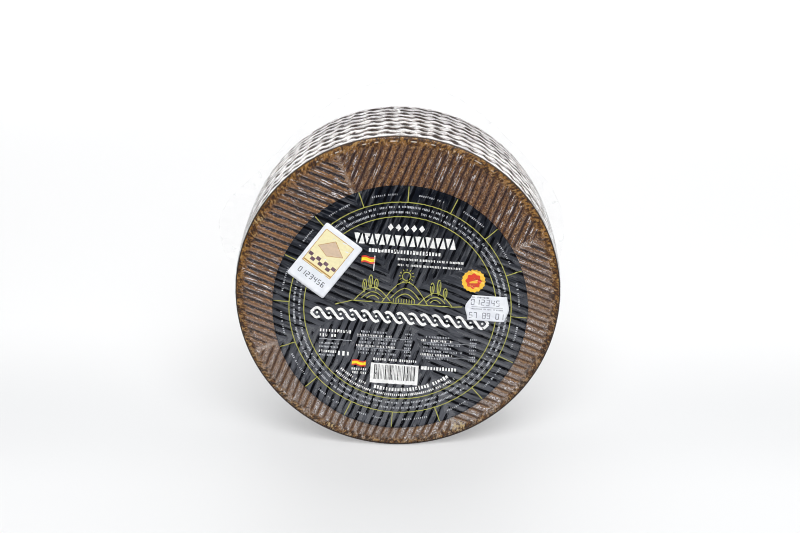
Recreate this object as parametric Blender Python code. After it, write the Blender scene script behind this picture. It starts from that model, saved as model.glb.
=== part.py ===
"""A whole manchego cheese wheel, vacuum packed in clear film and standing on its edge.

Pieces: the wrapped wheel with its pressed relief, the film's free margin behind it, the round label
on the front face, the small control label and the date sticker. The origin is the middle of the flat
spot that the wheel stands on. +Y runs from the labelled face to the plain one, and +Z is up.
"""
import math

import bmesh
import bpy
from mathutils.geometry import delaunay_2d_cdt

MM = 0.001
GAP = 0.3 * MM  # between pieces that touch

# The wheel: a barrel side between two flat faces, sharper at the front than at the back
WHEEL_RADIUS = 100 * MM
WHEEL_DEPTH = 90 * MM
BARREL = 1.0 * MM
FRONT_ROUND = 2.2 * MM
BACK_ROUND = 9.0 * MM
FOOT_HALF_WIDTH = 15 * MM

# The press pattern on both faces: ridges along each quarter's middle line
SECTORS = 4
PATTERN_TURN = math.radians(22.5)
RIDGE_PITCH = 4.6 * MM
RIDGE_TOP = 2.2 * MM
RIDGE_DEPTH = 1.3 * MM
RIM_DROP = 0.4 * MM
RIM_BAND = 1.1 * MM
CROWN = 0.15 * MM
CROWN_LENGTH = 23 * MM

# The plaited belt pattern round the side
WAVES_AROUND = 63
COLUMNS = 2 * WAVES_AROUND
GROOVES = 8
FIRST_GROOVE = 9.0 * MM
GROOVE_PITCH = 9.4 * MM
GROOVE_DEPTH = 1.2 * MM
WAVE_SWING = 1.4 * MM
BACK_RINGS = 4
SMOOTH_FOOT = (math.radians(9.5), math.radians(15))

# The round label and the two small ones, placed from the wheel's axis: right and up on the front face
LABEL_RADIUS = 77.7 * MM
LABEL_AT = (1.4 * MM, -8.7 * MM)
LABEL_THICKNESS = 0.4 * MM
LABEL_SIDES = 96
CARD_SIZE = (27.4 * MM, 40.1 * MM)
CARD_AT = (-43.9 * MM, 22.2 * MM)
CARD_TURN = math.radians(-38)
CARD_CORNER = 1.2 * MM
CARD_THICKNESS = 0.4 * MM
STICKER_SIZE = (26 * MM, 16 * MM)
STICKER_AT = (54.2 * MM, -8.0 * MM)
STICKER_TURN = math.radians(-4)
STICKER_WAVE = 0.6 * MM
STICKER_THICKNESS = 0.3 * MM

# The film's free margin: a thin ring that stands off the side, widest in three lobes
MARGIN_DEPTH_AT = 78 * MM
MARGIN_THICKNESS = 0.6 * MM
MARGIN_ENDS = (math.radians(-12), math.radians(192))
MARGIN_LEAST = 3.0 * MM
MARGIN_LOBES = (
    (math.radians(18), math.radians(17), 7.0 * MM),
    (math.radians(90), math.radians(32), 13.5 * MM),
    (math.radians(168), math.radians(17), 16.0 * MM),
)
MARGIN_STEPS = 72
MARGIN_BANDS = 2
MARGIN_CRINKLE = 1.5 * MM
CRINKLES = 21

AXIS_HEIGHT = math.sqrt(WHEEL_RADIUS**2 - FOOT_HALF_WIDTH**2)
EDGE_RADIUS = WHEEL_RADIUS - BARREL
FACE_RADIUS = EDGE_RADIUS - FRONT_ROUND
BACK_FACE_RADIUS = EDGE_RADIUS - BACK_ROUND
FRONT_Y = -WHEEL_DEPTH / 2


def clear_scene():
    for thing in list(bpy.data.objects):
        bpy.data.objects.remove(thing, do_unlink=True)


def surface(name, colour, roughness, alpha=1.0):
    """A Principled material with one colour."""
    material = bpy.data.materials.new(name)
    material.use_nodes = True
    shader = material.node_tree.nodes["Principled BSDF"]
    shader.inputs["Base Color"].default_value = (*colour, 1.0)
    shader.inputs["Roughness"].default_value = roughness
    shader.inputs["Metallic"].default_value = 0.0
    shader.inputs["Alpha"].default_value = alpha
    return material


def add_piece(name, points, faces, material, smooth_angle=None):
    """An object from points and faces, with its normals made to point out."""
    mesh = bpy.data.meshes.new(name)
    mesh.from_pydata(points, [], faces)
    shaped = bmesh.new()
    shaped.from_mesh(mesh)
    bmesh.ops.recalc_face_normals(shaped, faces=shaped.faces)
    shaped.to_mesh(mesh)
    shaped.free()
    mesh.materials.append(material)
    if smooth_angle is not None:
        mesh.shade_smooth()
        mesh.set_sharp_from_angle(angle=smooth_angle)
    piece = bpy.data.objects.new(name, mesh)
    bpy.context.scene.collection.objects.link(piece)
    return piece


def eased(x, low, high):
    """0 below low, 1 above high, and a smooth step between."""
    t = min(1.0, max(0.0, (x - low) / (high - low)))
    return t * t * (3 - 2 * t)


def column_angle(column):
    """The angle of a column of points round the wheel, from its lowest line."""
    return -math.pi / 2 + 2 * math.pi * column / COLUMNS


def crest_radius(depth):
    """The side's radius on top of the plait, at a depth behind the front face."""
    span = WHEEL_DEPTH - FRONT_ROUND - BACK_ROUND
    along = min(1.0, max(0.0, (depth - FRONT_ROUND) / span))
    return EDGE_RADIUS + BARREL * math.sin(math.pi * along)


def relief_at(column):
    """How much of the plait's relief is left: none where the wheel stands on it."""
    from_foot = min(column, COLUMNS - column) * 2 * math.pi / COLUMNS
    return eased(from_foot, *SMOOTH_FOOT)


def side_rings():
    """(depth, radius, how far the ring is sunk, how far it swings to and fro) of each ring of points."""
    rings = []
    for step in range(3):
        turn = math.pi / 2 * step / 2
        depth = FRONT_ROUND * (1 - math.cos(turn))
        rings.append((max(depth, RIM_DROP), FACE_RADIUS + FRONT_ROUND * math.sin(turn), 0.0, 0.0))
    for groove in range(GROOVES):
        depth = FIRST_GROOVE + groove * GROOVE_PITCH
        crest = depth - GROOVE_PITCH / 2
        rings.append((crest, crest_radius(crest), 0.0, WAVE_SWING))
        rings.append((depth, crest_radius(depth), GROOVE_DEPTH, WAVE_SWING))
    for step in range(BACK_RINGS + 1):
        turn = math.pi / 2 * step / BACK_RINGS
        depth = WHEEL_DEPTH - BACK_ROUND * (1 - math.sin(turn))
        radius = BACK_FACE_RADIUS + BACK_ROUND * math.cos(turn)
        rings.append((min(depth, WHEEL_DEPTH - RIM_DROP), radius, 0.0, 0.0))
    return rings


def ring_points(depth, radius, sunk, swing):
    """The points of one ring in the part's frame, none of them below the floor."""
    points = []
    for column in range(COLUMNS):
        relief = relief_at(column)
        angle = column_angle(column)
        r = radius - sunk * relief
        y = FRONT_Y + depth + swing * relief * (1 if column % 2 else -1)
        points.append((r * math.cos(angle), y, max(0.0, AXIS_HEIGHT + r * math.sin(angle))))
    return points


def ridge_offsets(reach):
    """(distance from the quarter's middle line, how deep that line lies) of each straight line."""
    offsets = []
    furthest = reach / math.sqrt(2)
    ridge = 0
    while ridge * RIDGE_PITCH < furthest:
        middle = ridge * RIDGE_PITCH
        if ridge > 0:
            offsets.append((middle - RIDGE_TOP / 2, 0.0))
        offsets.append((middle + RIDGE_TOP / 2, 0.0))
        offsets.append((middle + RIDGE_PITCH / 2, RIDGE_DEPTH))
        ridge += 1
    return [(offset, depth) for offset, depth in offsets if offset < furthest - RIDGE_TOP / 2]


def crown(u, v):
    """A slow swell of the pressed face, so that no two ridges are quite alike."""
    return CROWN * (1 + math.sin(u / CROWN_LENGTH) * math.cos(v / CROWN_LENGTH + 1))


def face_plan(rim_radius):
    """(points as right, up and depth, edges) of the pressed face inside its rim ring.

    A ridge's lines run from the seam to the rim, and meet those of the next quarter on the seam.
    """
    reach = rim_radius - RIM_BAND
    points = [(0.0, 0.0, RIDGE_DEPTH / 2)]
    edges = []
    offsets = ridge_offsets(reach)
    seams = []
    for sector in range(SECTORS):
        seam_angle = PATTERN_TURN + sector * 2 * math.pi / SECTORS
        seams.append([])
        for offset, depth in offsets:
            along = offset * math.sqrt(2)
            seams[sector].append(len(points))
            points.append((along * math.cos(seam_angle), along * math.sin(seam_angle), depth))
    for sector in range(SECTORS):
        middle_angle = PATTERN_TURN + (sector + 0.5) * 2 * math.pi / SECTORS
        along = (math.cos(middle_angle), math.sin(middle_angle))
        across = (-along[1], along[0])
        for side, seam in ((-1, seams[sector]), (1, seams[(sector + 1) % SECTORS])):
            for (offset, depth), start in zip(offsets, seam):
                end = math.sqrt(reach**2 - offset**2)
                u = along[0] * end + across[0] * offset * side
                v = along[1] * end + across[1] * offset * side
                edges.append((start, len(points)))
                points.append((u, v, depth))
    return [(u, v, depth + crown(u, v)) for u, v, depth in points], edges


def pressed_face(rim_radius):
    """The face's triangles over its rim ring's points, which come first, then its own points."""
    inner, edges = face_plan(rim_radius)
    rim = [
        (rim_radius * math.cos(column_angle(c)), rim_radius * math.sin(column_angle(c)))
        for c in range(COLUMNS)
    ]
    flat = rim + [(u, v) for u, v, _ in inner]
    lines = [(COLUMNS + a, COLUMNS + b) for a, b in edges]
    lines += [(c, (c + 1) % COLUMNS) for c in range(COLUMNS)]
    triangles = delaunay_2d_cdt([tuple(p) for p in flat], lines, [], 1, 1e-7)[2]
    return inner, triangles


def join_face(points, faces, rim_start, rim_radius, back):
    """Closes one end of the wheel with its pressed face."""
    inner, triangles = pressed_face(rim_radius)
    start = len(points)
    for u, v, depth in inner:
        x = -u if back else u
        y = FRONT_Y + (WHEEL_DEPTH - depth if back else depth)
        points.append((x, y, max(0.0, AXIS_HEIGHT + v)))
    for triangle in triangles:
        corners = []
        for corner in triangle:
            if corner >= COLUMNS:
                corners.append(start + corner - COLUMNS)
            else:
                column = (COLUMNS - corner) % COLUMNS if back else corner
                corners.append(rim_start + column)
        faces.append(corners)


def wrapped_wheel():
    """The cheese in its tight film: a lofted side and two pressed faces, as one closed solid."""
    rings = side_rings()
    points = []
    faces = []
    for ring in rings:
        points += ring_points(*ring)
    for ring in range(len(rings) - 1):
        for column in range(COLUMNS):
            after = (column + 1) % COLUMNS
            a, b = ring * COLUMNS + column, ring * COLUMNS + after
            c, d = b + COLUMNS, a + COLUMNS
            faces += [(a, b, c), (a, c, d)] if column % 2 else [(a, b, d), (b, c, d)]
    join_face(points, faces, 0, FACE_RADIUS, back=False)
    join_face(points, faces, (len(rings) - 1) * COLUMNS, BACK_FACE_RADIUS, back=True)
    rind = surface("rind", (0.25, 0.14, 0.07), 0.45)
    return add_piece("wrapped_wheel", points, faces, rind)


def plate(name, outline, back_y, thickness, material):
    """A flat plate from an outline of (right, up) points, in front of the wheel's face."""
    count = len(outline)
    points = [(u, back_y, AXIS_HEIGHT + v) for u, v in outline]
    points += [(u, back_y - thickness, AXIS_HEIGHT + v) for u, v in outline]
    faces = [tuple(range(count)), tuple(range(2 * count - 1, count - 1, -1))]
    for corner in range(count):
        after = (corner + 1) % count
        faces.append((corner, after, count + after, count + corner))
    return add_piece(name, points, faces, material)


def placed(outline, at, turn):
    """The outline turned about its middle and moved to its place on the face."""
    return [
        (at[0] + x * math.cos(turn) - y * math.sin(turn), at[1] + x * math.sin(turn) + y * math.cos(turn))
        for x, y in outline
    ]


def round_label():
    outline = [
        (LABEL_RADIUS * math.cos(2 * math.pi * k / LABEL_SIDES), LABEL_RADIUS * math.sin(2 * math.pi * k / LABEL_SIDES))
        for k in range(LABEL_SIDES)
    ]
    paper = surface("label", (0.02, 0.022, 0.03), 0.35)
    return plate("round_label", placed(outline, LABEL_AT, 0.0), FRONT_Y - GAP, LABEL_THICKNESS, paper)


def rounded_card(width, height, corner, steps=4):
    """The outline of a rectangle with rounded corners, about its middle."""
    outline = []
    for quarter, (sx, sy) in enumerate(((1, 1), (-1, 1), (-1, -1), (1, -1))):
        for step in range(steps + 1):
            turn = math.pi / 2 * (quarter + step / steps)
            x = sx * (width / 2 - corner) + corner * math.cos(turn)
            y = sy * (height / 2 - corner) + corner * math.sin(turn)
            outline.append((x, y))
    return outline


def control_label():
    outline = rounded_card(*CARD_SIZE, CARD_CORNER)
    back_y = FRONT_Y - 2 * GAP - LABEL_THICKNESS
    card = surface("card", (0.85, 0.85, 0.86), 0.4)
    return plate("control_label", placed(outline, CARD_AT, CARD_TURN), back_y, CARD_THICKNESS, card)


def date_sticker(steps=16):
    """A label from a hand labeller, with its two ends cut in waves."""
    width, height = STICKER_SIZE
    outline = []
    for end in (1, -1):
        for step in range(steps + 1):
            t = step / steps
            bulge = STICKER_WAVE * (math.sin(math.pi * t) + math.sin(3 * math.pi * t) / 3)
            outline.append((end * (width / 2 + bulge), end * height * (t - 0.5)))
    back_y = FRONT_Y - 2 * GAP - LABEL_THICKNESS
    paper = surface("sticker", (0.8, 0.8, 0.82), 0.5)
    return plate("date_sticker", placed(outline, STICKER_AT, STICKER_TURN), back_y, STICKER_THICKNESS, paper)


def margin_width(angle):
    """How far the film's margin stands off the side at this angle."""
    first, last = MARGIN_ENDS
    width = MARGIN_LEAST
    for middle, spread, height in MARGIN_LOBES:
        width += height * math.exp(-(((angle - middle) / spread) ** 2))
    ends = min(angle - first, last - angle) / (last - first)
    return width * (0.4 + 0.6 * eased(ends, 0.0, 0.05))


def film_margin():
    """The free margin of the vacuum bag, a thin crinkled ring over the top and down both sides."""
    first, last = MARGIN_ENDS
    inner = crest_radius(MARGIN_DEPTH_AT) + GAP
    row = 2 * (MARGIN_BANDS + 1)
    points = []
    for step in range(MARGIN_STEPS + 1):
        angle = first + (last - first) * step / MARGIN_STEPS
        section = []
        for band in range(MARGIN_BANDS + 1):
            out = band / MARGIN_BANDS
            r = inner + margin_width(angle) * out
            wave = MARGIN_CRINKLE * out * math.sin(CRINKLES * angle + 2 * math.sin(3 * angle))
            section.append((r * math.cos(angle), FRONT_Y + MARGIN_DEPTH_AT + wave, AXIS_HEIGHT + r * math.sin(angle)))
        points += section
        points += [(x, y + MARGIN_THICKNESS, z) for x, y, z in reversed(section)]
    faces = [tuple(range(row)), tuple(MARGIN_STEPS * row + k for k in reversed(range(row)))]
    for step in range(MARGIN_STEPS):
        for k in range(row):
            after = (k + 1) % row
            a, b = step * row + k, step * row + after
            c, d = b + row, a + row
            faces += [(a, b, c), (a, c, d)]
    clear = surface("film", (0.93, 0.94, 0.95), 0.12, alpha=0.35)
    return add_piece("film_margin", points, faces, clear)


def build():
    clear_scene()
    wrapped_wheel()
    film_margin()
    round_label()
    control_label()
    date_sticker()


build()
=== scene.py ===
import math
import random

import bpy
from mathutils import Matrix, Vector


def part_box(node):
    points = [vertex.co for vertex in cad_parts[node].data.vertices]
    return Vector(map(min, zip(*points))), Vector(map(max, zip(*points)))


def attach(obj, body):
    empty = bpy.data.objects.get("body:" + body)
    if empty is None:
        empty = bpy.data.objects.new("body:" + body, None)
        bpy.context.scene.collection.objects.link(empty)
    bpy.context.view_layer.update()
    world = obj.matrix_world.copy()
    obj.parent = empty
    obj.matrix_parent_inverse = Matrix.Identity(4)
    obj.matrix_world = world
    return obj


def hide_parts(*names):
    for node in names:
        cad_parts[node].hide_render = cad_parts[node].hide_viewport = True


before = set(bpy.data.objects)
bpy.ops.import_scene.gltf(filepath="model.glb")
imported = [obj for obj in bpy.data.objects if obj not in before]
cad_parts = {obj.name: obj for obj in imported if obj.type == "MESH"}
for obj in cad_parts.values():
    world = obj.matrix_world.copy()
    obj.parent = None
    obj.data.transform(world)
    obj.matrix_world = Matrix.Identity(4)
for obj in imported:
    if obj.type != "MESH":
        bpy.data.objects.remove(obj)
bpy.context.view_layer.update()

# The looks of a whole manchego cheese in its vacuum film, standing on its edge.
#
# The rind, the tight film over it, the film's free edge, the round label with its print, the control
# card and the date tag are each made here in fine detail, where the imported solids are. A place on the
# front face is given as right and up from the wheel's axis. Rules for shapes and finishes are written
# as sums of fields, and each step of such a sum is one node.

MM = 0.001
TURN = 2 * math.pi


def mm(*values):
    """Values given in millimetres, as metres."""
    return tuple(value * MM for value in values)


# The wheel's own sizes, as in the solids
WHEEL_HIGH = Vector(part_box("wrapped_wheel")[1])
WHEEL_RADIUS = 100 * MM
WHEEL_DEPTH = 90 * MM
FRONT_Y = -WHEEL_DEPTH / 2
AXIS_HEIGHT = WHEEL_HIGH.z - WHEEL_RADIUS
BARREL = 1.0 * MM
FRONT_ROUND = 2.2 * MM
BACK_ROUND = 9.0 * MM
EDGE_RADIUS = WHEEL_RADIUS - BARREL
FACE_RADIUS = EDGE_RADIUS - FRONT_ROUND
BACK_FACE_RADIUS = EDGE_RADIUS - BACK_ROUND
RIM_DROP = 0.4 * MM

# The press pattern on the faces
PATTERN_TURN = math.radians(22.5)
RIDGE_PITCH = 4.6 * MM
RIM_BAND = 1.1 * MM

# Where painted white glints of the film show most on the ridges: right, up and reach
GLINT_SPOTS = (
    (-48 * MM, 64 * MM, 30 * MM), (-20 * MM, 84 * MM, 16 * MM), (34 * MM, 82 * MM, 22 * MM),
    (-60 * MM, -66 * MM, 40 * MM), (-10 * MM, -90 * MM, 34 * MM), (50 * MM, -78 * MM, 36 * MM),
    (80 * MM, 28 * MM, 22 * MM), (-84 * MM, 10 * MM, 20 * MM), (72 * MM, 54 * MM, 20 * MM),
)

# Yellowish pale spots near the rim: right, up and reach
PALE_SPOTS = ((-83 * MM, 48 * MM, 4 * MM), (-42 * MM, -86 * MM, 4 * MM), (38 * MM, -86 * MM, 5 * MM))

# The plaited belt pattern round the side
WAVES_AROUND = 63
FIRST_GROOVE = 9.0 * MM
GROOVE_PITCH = 9.4 * MM
WAVE_SWING = 1.4 * MM
CORD_SWELL = 0.35 * MM
SMOOTH_FOOT = (math.radians(9.5), math.radians(15))

# The round label, the card and the tag
LABEL_AT = Vector((1.4 * MM, -8.7 * MM))
LABEL_RADIUS = 77.7 * MM
LABEL_TURN = math.radians(-4)
LABEL_CREST = 0.68 * MM
LABEL_DIP = 0.6 * MM
LABEL_FLAT = 0.6
CARD_SIZE = (27.4 * MM, 40.1 * MM)
CARD_AT = Vector((-43.9 * MM, 22.2 * MM))
CARD_TURN = math.radians(-38)
CARD_CORNER = 1.2 * MM
TAG_SIZE = (26 * MM, 16 * MM)
TAG_AT = Vector((54.2 * MM, -8.0 * MM))
TAG_TURN = math.radians(-4)
TAG_WAVE = 0.3 * MM
CARD_LIFT = 1.4 * MM
CARD_DIP = 0.1 * MM
TAG_LIFT = 1.3 * MM
TAG_DIP = 0.25 * MM

# How far a sheet's back is drawn below it, where the backs lie over the front face, and how many
# rings of points a plate has
SHEET_BACK = 1.0 * MM
LABEL_BACK = 0.05 * MM
STACK_BACK = 1.0 * MM
PLATE_RINGS = 12

# The print: thin ink in small cells, each kind a level above what it lies on
PRINT_CELL = 0.45 * MM
PRINT_LIFT = 0.09 * MM
PRINT_LEVEL = 0.03 * MM
OUTER_RING = 67.5 * MM
INNER_RING = 58.5 * MM
RING_WIDTH = 0.52 * MM
OUTER_FIELDS = 16
FIELD_LINE = 0.55 * MM
TABLE_PITCH = 2.3 * MM
TABLE_WIDTH = 33 * MM

# The film's free edge
MARGIN_DEPTH_AT = 78 * MM
MARGIN_ENDS = (math.radians(-12), math.radians(192))
MARGIN_LEAST = 3.0 * MM
MARGIN_LOBES = (
    (math.radians(18), math.radians(17), 7.0 * MM),
    (math.radians(90), math.radians(32), 13.5 * MM),
    (math.radians(168), math.radians(17), 16.0 * MM),
)

# The photograph's camera: its image, lens and place, seen from the middle of the front face
IMAGE_SIZE = (800, 533)
SENSOR_WIDTH = 36.0
FOCAL_PIXELS = 1815.0
CAMERA_DISTANCE = 1.101
CAMERA_ELEVATION = math.radians(18.6)
CAMERA_AZIMUTH = math.radians(0.6)
FACE_PIXEL = (397.7, 295.2)


class Field:
    """A value that changes from place to place. Sums of fields add Math nodes to their tree."""

    def __init__(self, tree, socket):
        self.tree = tree
        self.socket = socket

    def math(self, operation, *others):
        return self.made(operation, self, *others)

    def made(self, operation, *values):
        """The operation on values of which the first need not be this field."""
        node = self.tree.nodes.new("ShaderNodeMath")
        node.operation = operation
        for socket, value in zip(node.inputs, values):
            feed(self.tree, socket, value)
        return Field(self.tree, node.outputs[0])

    def __add__(self, other):
        return self.math("ADD", other)

    __radd__ = __add__

    def __sub__(self, other):
        return self.math("SUBTRACT", other)

    def __rsub__(self, other):
        return self.made("SUBTRACT", other, self)

    def __mul__(self, other):
        return self.math("MULTIPLY", other)

    __rmul__ = __mul__

    def __truediv__(self, other):
        return self.math("DIVIDE", other)

    def __rtruediv__(self, other):
        return self.made("DIVIDE", other, self)

    def __abs__(self):
        return self.math("ABSOLUTE")

    def stepped(self, low, high):
        """0 below low, 1 above high, and a smooth step between."""
        node = self.tree.nodes.new("ShaderNodeMapRange")
        node.interpolation_type = "SMOOTHSTEP"
        for index, value in enumerate((self, low, high, 0.0, 1.0)):
            feed(self.tree, node.inputs[index], value)
        return Field(self.tree, node.outputs[0])

    def dropped(self, low, high):
        """1 below low, 0 above high, and a smooth step between."""
        return 1.0 - self.stepped(low, high)


def feed(tree, socket, value):
    """Links a field to a socket, or sets the socket to a plain value."""
    if isinstance(value, Field):
        tree.links.new(value.socket, socket)
    else:
        socket.default_value = value


def add_node(tree, kind, inputs=None, **settings):
    """A node of that kind, with its settings made first and its inputs fed after."""
    node = tree.nodes.new(kind)
    for name, value in settings.items():
        setattr(node, name, value)
    for name, value in (inputs or {}).items():
        feed(tree, node.inputs[name], value)
    return node


def vector(tree, x, y, z):
    return Field(tree, add_node(tree, "ShaderNodeCombineXYZ", {0: x, 1: y, 2: z}).outputs[0])


def parts_of(field):
    """The three parts of a vector field."""
    node = add_node(field.tree, "ShaderNodeSeparateXYZ", {0: field})
    return [Field(field.tree, socket) for socket in node.outputs]


def noise(place, size, seed, detail=2.0):
    """Smooth noise round 0.5 whose lumps are about as wide as size."""
    inputs = {"Vector": place, "W": seed * 7.3, "Scale": 1.0 / size, "Detail": detail}
    node = add_node(place.tree, "ShaderNodeTexNoise", inputs, noise_dimensions="4D")
    return Field(place.tree, node.outputs[0])


def sway(place, size, seed, height, detail=2.0):
    """Noise round 0, up to about half the height either way."""
    return (noise(place, size, seed, detail) - 0.5) * height


def length_of(x, y):
    return (x * x + y * y).math("SQRT")


def band(value, first, full, falling, last):
    """0 before first, 1 from full to falling and 0 again after last."""
    return value.stepped(first, full) * value.dropped(falling, last)


def mixed(factor, a, b):
    """A colour field that goes from a to b as the factor goes from 0 to 1."""
    node = add_node(factor.tree, "ShaderNodeMix", {0: factor}, data_type="RGBA")
    for index, colour in ((6, a), (7, b)):
        feed(factor.tree, node.inputs[index], colour if isinstance(colour, Field) else (*colour, 1.0))
    return Field(factor.tree, node.outputs[2])


def coated(base, *coats):
    """The base with the colour of each coat laid over it in turn, as thick as the coat's share."""
    for share, colour in coats:
        base = mixed(share, base, colour)
    return base


class Shape:
    """Points and faces that grow part by part. Points at one place are kept once."""

    def __init__(self):
        self.points = []
        self.faces = []
        self.inks = []
        self.known = {}

    def point(self, x, y, z=0.0):
        key = (round(x * 1e7), round(y * 1e7), round(z * 1e7))
        if key not in self.known:
            self.known[key] = len(self.points)
            self.points.append((x, y, z))
        return self.known[key]

    def face(self, *corners, ink=0):
        corners = tuple(dict.fromkeys(corners))
        if len(corners) > 2:
            self.faces.append(corners)
            self.inks.append(ink)

    def zip_rows(self, lower, upper, flip=False):
        """Triangles between two rows of (place along the row, point)."""
        i = j = 0
        while i < len(lower) - 1 or j < len(upper) - 1:
            at_end = j == len(upper) - 1
            if at_end or (i < len(lower) - 1 and lower[i + 1][0] <= upper[j + 1][0]):
                corners = (lower[i][1], lower[i + 1][1], upper[j][1])
                i += 1
            else:
                corners = (lower[i][1], upper[j + 1][1], upper[j][1])
                j += 1
            self.face(*(reversed(corners) if flip else corners))

    def zip_rings(self, inner, outer, flip=False):
        """Closes the band between two rings of (angle, point) in order of angle."""
        inner = inner + [(inner[0][0] + TURN, inner[0][1])]
        outer = outer + [(outer[0][0] + TURN, outer[0][1])]
        self.zip_rows(inner, outer, flip)

    def mesh(self, name):
        mesh = bpy.data.meshes.new(name)
        mesh.from_pydata(self.points, [], self.faces)
        mesh.polygons.foreach_set("material_index", self.inks)
        return mesh


def new_object(name, mesh, materials=()):
    for material in materials:
        mesh.materials.append(material)
    thing = bpy.data.objects.new(name, mesh)
    bpy.context.scene.collection.objects.link(thing)
    return thing


def finish_mesh(thing):
    """Makes the thing's modifiers real, as a plain smooth mesh."""
    bpy.context.view_layer.update()
    evaluated = thing.evaluated_get(bpy.context.evaluated_depsgraph_get())
    mesh = bpy.data.meshes.new_from_object(evaluated)
    thing.modifiers.clear()
    thing.data = mesh
    mesh.shade_smooth()


class ShapeTree:
    """A Geometry Nodes tree with named sizes, which ends by giving its shape a material."""

    def __init__(self, name):
        self.tree = bpy.data.node_groups.new(name, "GeometryNodeTree")
        for side in ("INPUT", "OUTPUT"):
            self.tree.interface.new_socket("Geometry", in_out=side, socket_type="NodeSocketGeometry")
        self.start = self.tree.nodes.new("NodeGroupInput")
        self.shape = Field(self.tree, self.start.outputs[0])
        self.names = {}

    def size(self, name, kind="NodeSocketFloat"):
        """A named input of the tree, as a field."""
        socket = self.tree.interface.new_socket(name, in_out="INPUT", socket_type=kind)
        self.names[name] = socket.identifier
        return Field(self.tree, self.start.outputs[name])

    def store(self, name, value):
        """Keeps a value on the shape's points, for its finish to read."""
        self.step("GeometryNodeStoreNamedAttribute", {"Name": name, "Value": value}, data_type="FLOAT")

    def step(self, kind, inputs=None, **settings):
        """One step of the shape's making: the shape goes in first and comes out first."""
        node = add_node(self.tree, kind, inputs, **settings)
        feed(self.tree, node.inputs[0], self.shape)
        self.shape = Field(self.tree, node.outputs[0])

    def place(self):
        node = self.tree.nodes.new("GeometryNodeInputPosition")
        return Field(self.tree, node.outputs[0])

    def close(self):
        """Ends the tree: faces that have no ink of their own take the tree's material."""
        material = self.size("Material", "NodeSocketMaterial")
        index = Field(self.tree, self.tree.nodes.new("GeometryNodeInputMaterialIndex").outputs[0])
        own = index.math("LESS_THAN", 0.5)
        self.step("GeometryNodeRealizeInstances")
        self.step("GeometryNodeSetMaterial", {"Selection": own, "Material": material})
        end = self.tree.nodes.new("NodeGroupOutput")
        feed(self.tree, end.inputs[0], self.shape)

    def run(self, thing, material, sizes):
        """Puts the thing through the tree with these sizes, and keeps the plain mesh."""
        modifier = thing.modifiers.new("Making", "NODES")
        modifier.node_group = self.tree
        for name, value in {**sizes, "Material": material}.items():
            modifier[self.names[name]] = value
        finish_mesh(thing)


# Fields of the press pattern, for shapes and finishes alike


def seam_frame(u, v):
    """A place on a face in the frame whose two axes are the seams between the quarters."""
    c, s = math.cos(PATTERN_TURN), math.sin(PATTERN_TURN)
    return u * c + v * s, v * c - u * s


def ridge_frame(u, v):
    """(along the ridge, across from the quarter's middle line) of a place on a face."""
    p, q = seam_frame(u, v)
    root = math.sqrt(2)
    return (abs(p) + abs(q)) / root, (abs(p) - abs(q)) / root


def in_side_quarters(u, v):
    """1 in the left and right quarters of a face, and 0 in the upper and lower ones."""
    p, q = seam_frame(u, v)
    return (p * q).math("LESS_THAN", 0.0)


def off_seams(u, v):
    """0 on the seams between the quarters and 1 a little way from them."""
    p, q = seam_frame(u, v)
    return abs(p).math("MINIMUM", abs(q)).stepped(0.2 * MM, 1.8 * MM)


def streaks(u, v, length, width, seed):
    """Noise drawn out along the ridges of the press pattern, different in each quarter."""
    along, across = ridge_frame(u, v)
    p, q = seam_frame(u, v)
    quarter = p.math("LESS_THAN", 0.0) * 0.1 + q.math("LESS_THAN", 0.0) * 0.3
    return noise(vector(u.tree, along * (width / length), across, quarter), width, seed, 3.0)


def stray(u, v):
    """How far the ridges stray to the right and up from their straight lines."""
    place = vector(u.tree, u, 0.0, v)
    return [sway(place, 26 * MM, seed, 1.7 * MM) + sway(place, 5 * MM, seed + 2, 0.5 * MM) for seed in (1, 2)]


def ridge_slope(u, v):
    """0 on the middle line of a ridge, rising evenly to 1 on that of the groove beside it.

    The side quarters' ridges are half a pitch off, so that no ridge meets another at a seam.
    """
    across = ridge_frame(u, v)[1] + in_side_quarters(u, v) * (RIDGE_PITCH / 2)
    return across.math("PINGPONG", RIDGE_PITCH / 2) / (RIDGE_PITCH / 2) * off_seams(u, v)


def uneven(place, size, seed, share):
    """A factor round 1 that strays by about the share."""
    return (noise(place, size, seed) - 0.5) * (4 * share) + 1.0


SKIN_SIZES = (
    "Ridge Depth", "Ridge Flat", "Groove Depth", "Groove Width", "Lump Height", "Lump Size", "Stand Off",
    "Label Lift", "Crease Height", "Crest Hollow", "Floor", "Face Radius",
)


def face_relief(sizes, place, u, v, on_face, front, crumbs, creases):
    """A face's ridge slope, and how far its places move right, inwards and up."""
    radius = length_of(u, v)
    reach = sizes["Face Radius"]
    wobble = sway(place, 9 * MM, 5, 5 * MM)
    inside = (radius + wobble).dropped(reach - 4 * MM, reach - 1 * MM) * on_face
    held = radius.dropped(reach - 3 * MM, reach - 0.4 * MM)
    ridge = ridge_slope(u, v) * inside
    sink = ridge.stepped(sizes["Ridge Flat"], 1.0)
    hollow = ridge.dropped(0.0, 0.3) * noise(place, 12 * MM, 14).stepped(0.42, 0.58) * inside
    depth = sink * sizes["Ridge Depth"] * uneven(place, 15 * MM, 9, 0.25) + hollow * sizes["Crest Hollow"]
    uneven_skin = (crumbs + sway(place, 30 * MM, 7, 0.5 * MM) + 0.15 * MM - creases) * held
    drop = radius.stepped(reach - 3 * MM, reach) * RIM_DROP
    off_label = length_of(u - LABEL_AT.x, v - LABEL_AT.y)
    over_label = off_label.dropped(LABEL_RADIUS, LABEL_RADIUS + 2.5 * MM) * front
    into = depth + uneven_skin + drop - over_label * sizes["Label Lift"] - sizes["Stand Off"]
    right, up = stray(u, v)
    return ridge, right * held, into, up * held


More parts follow.
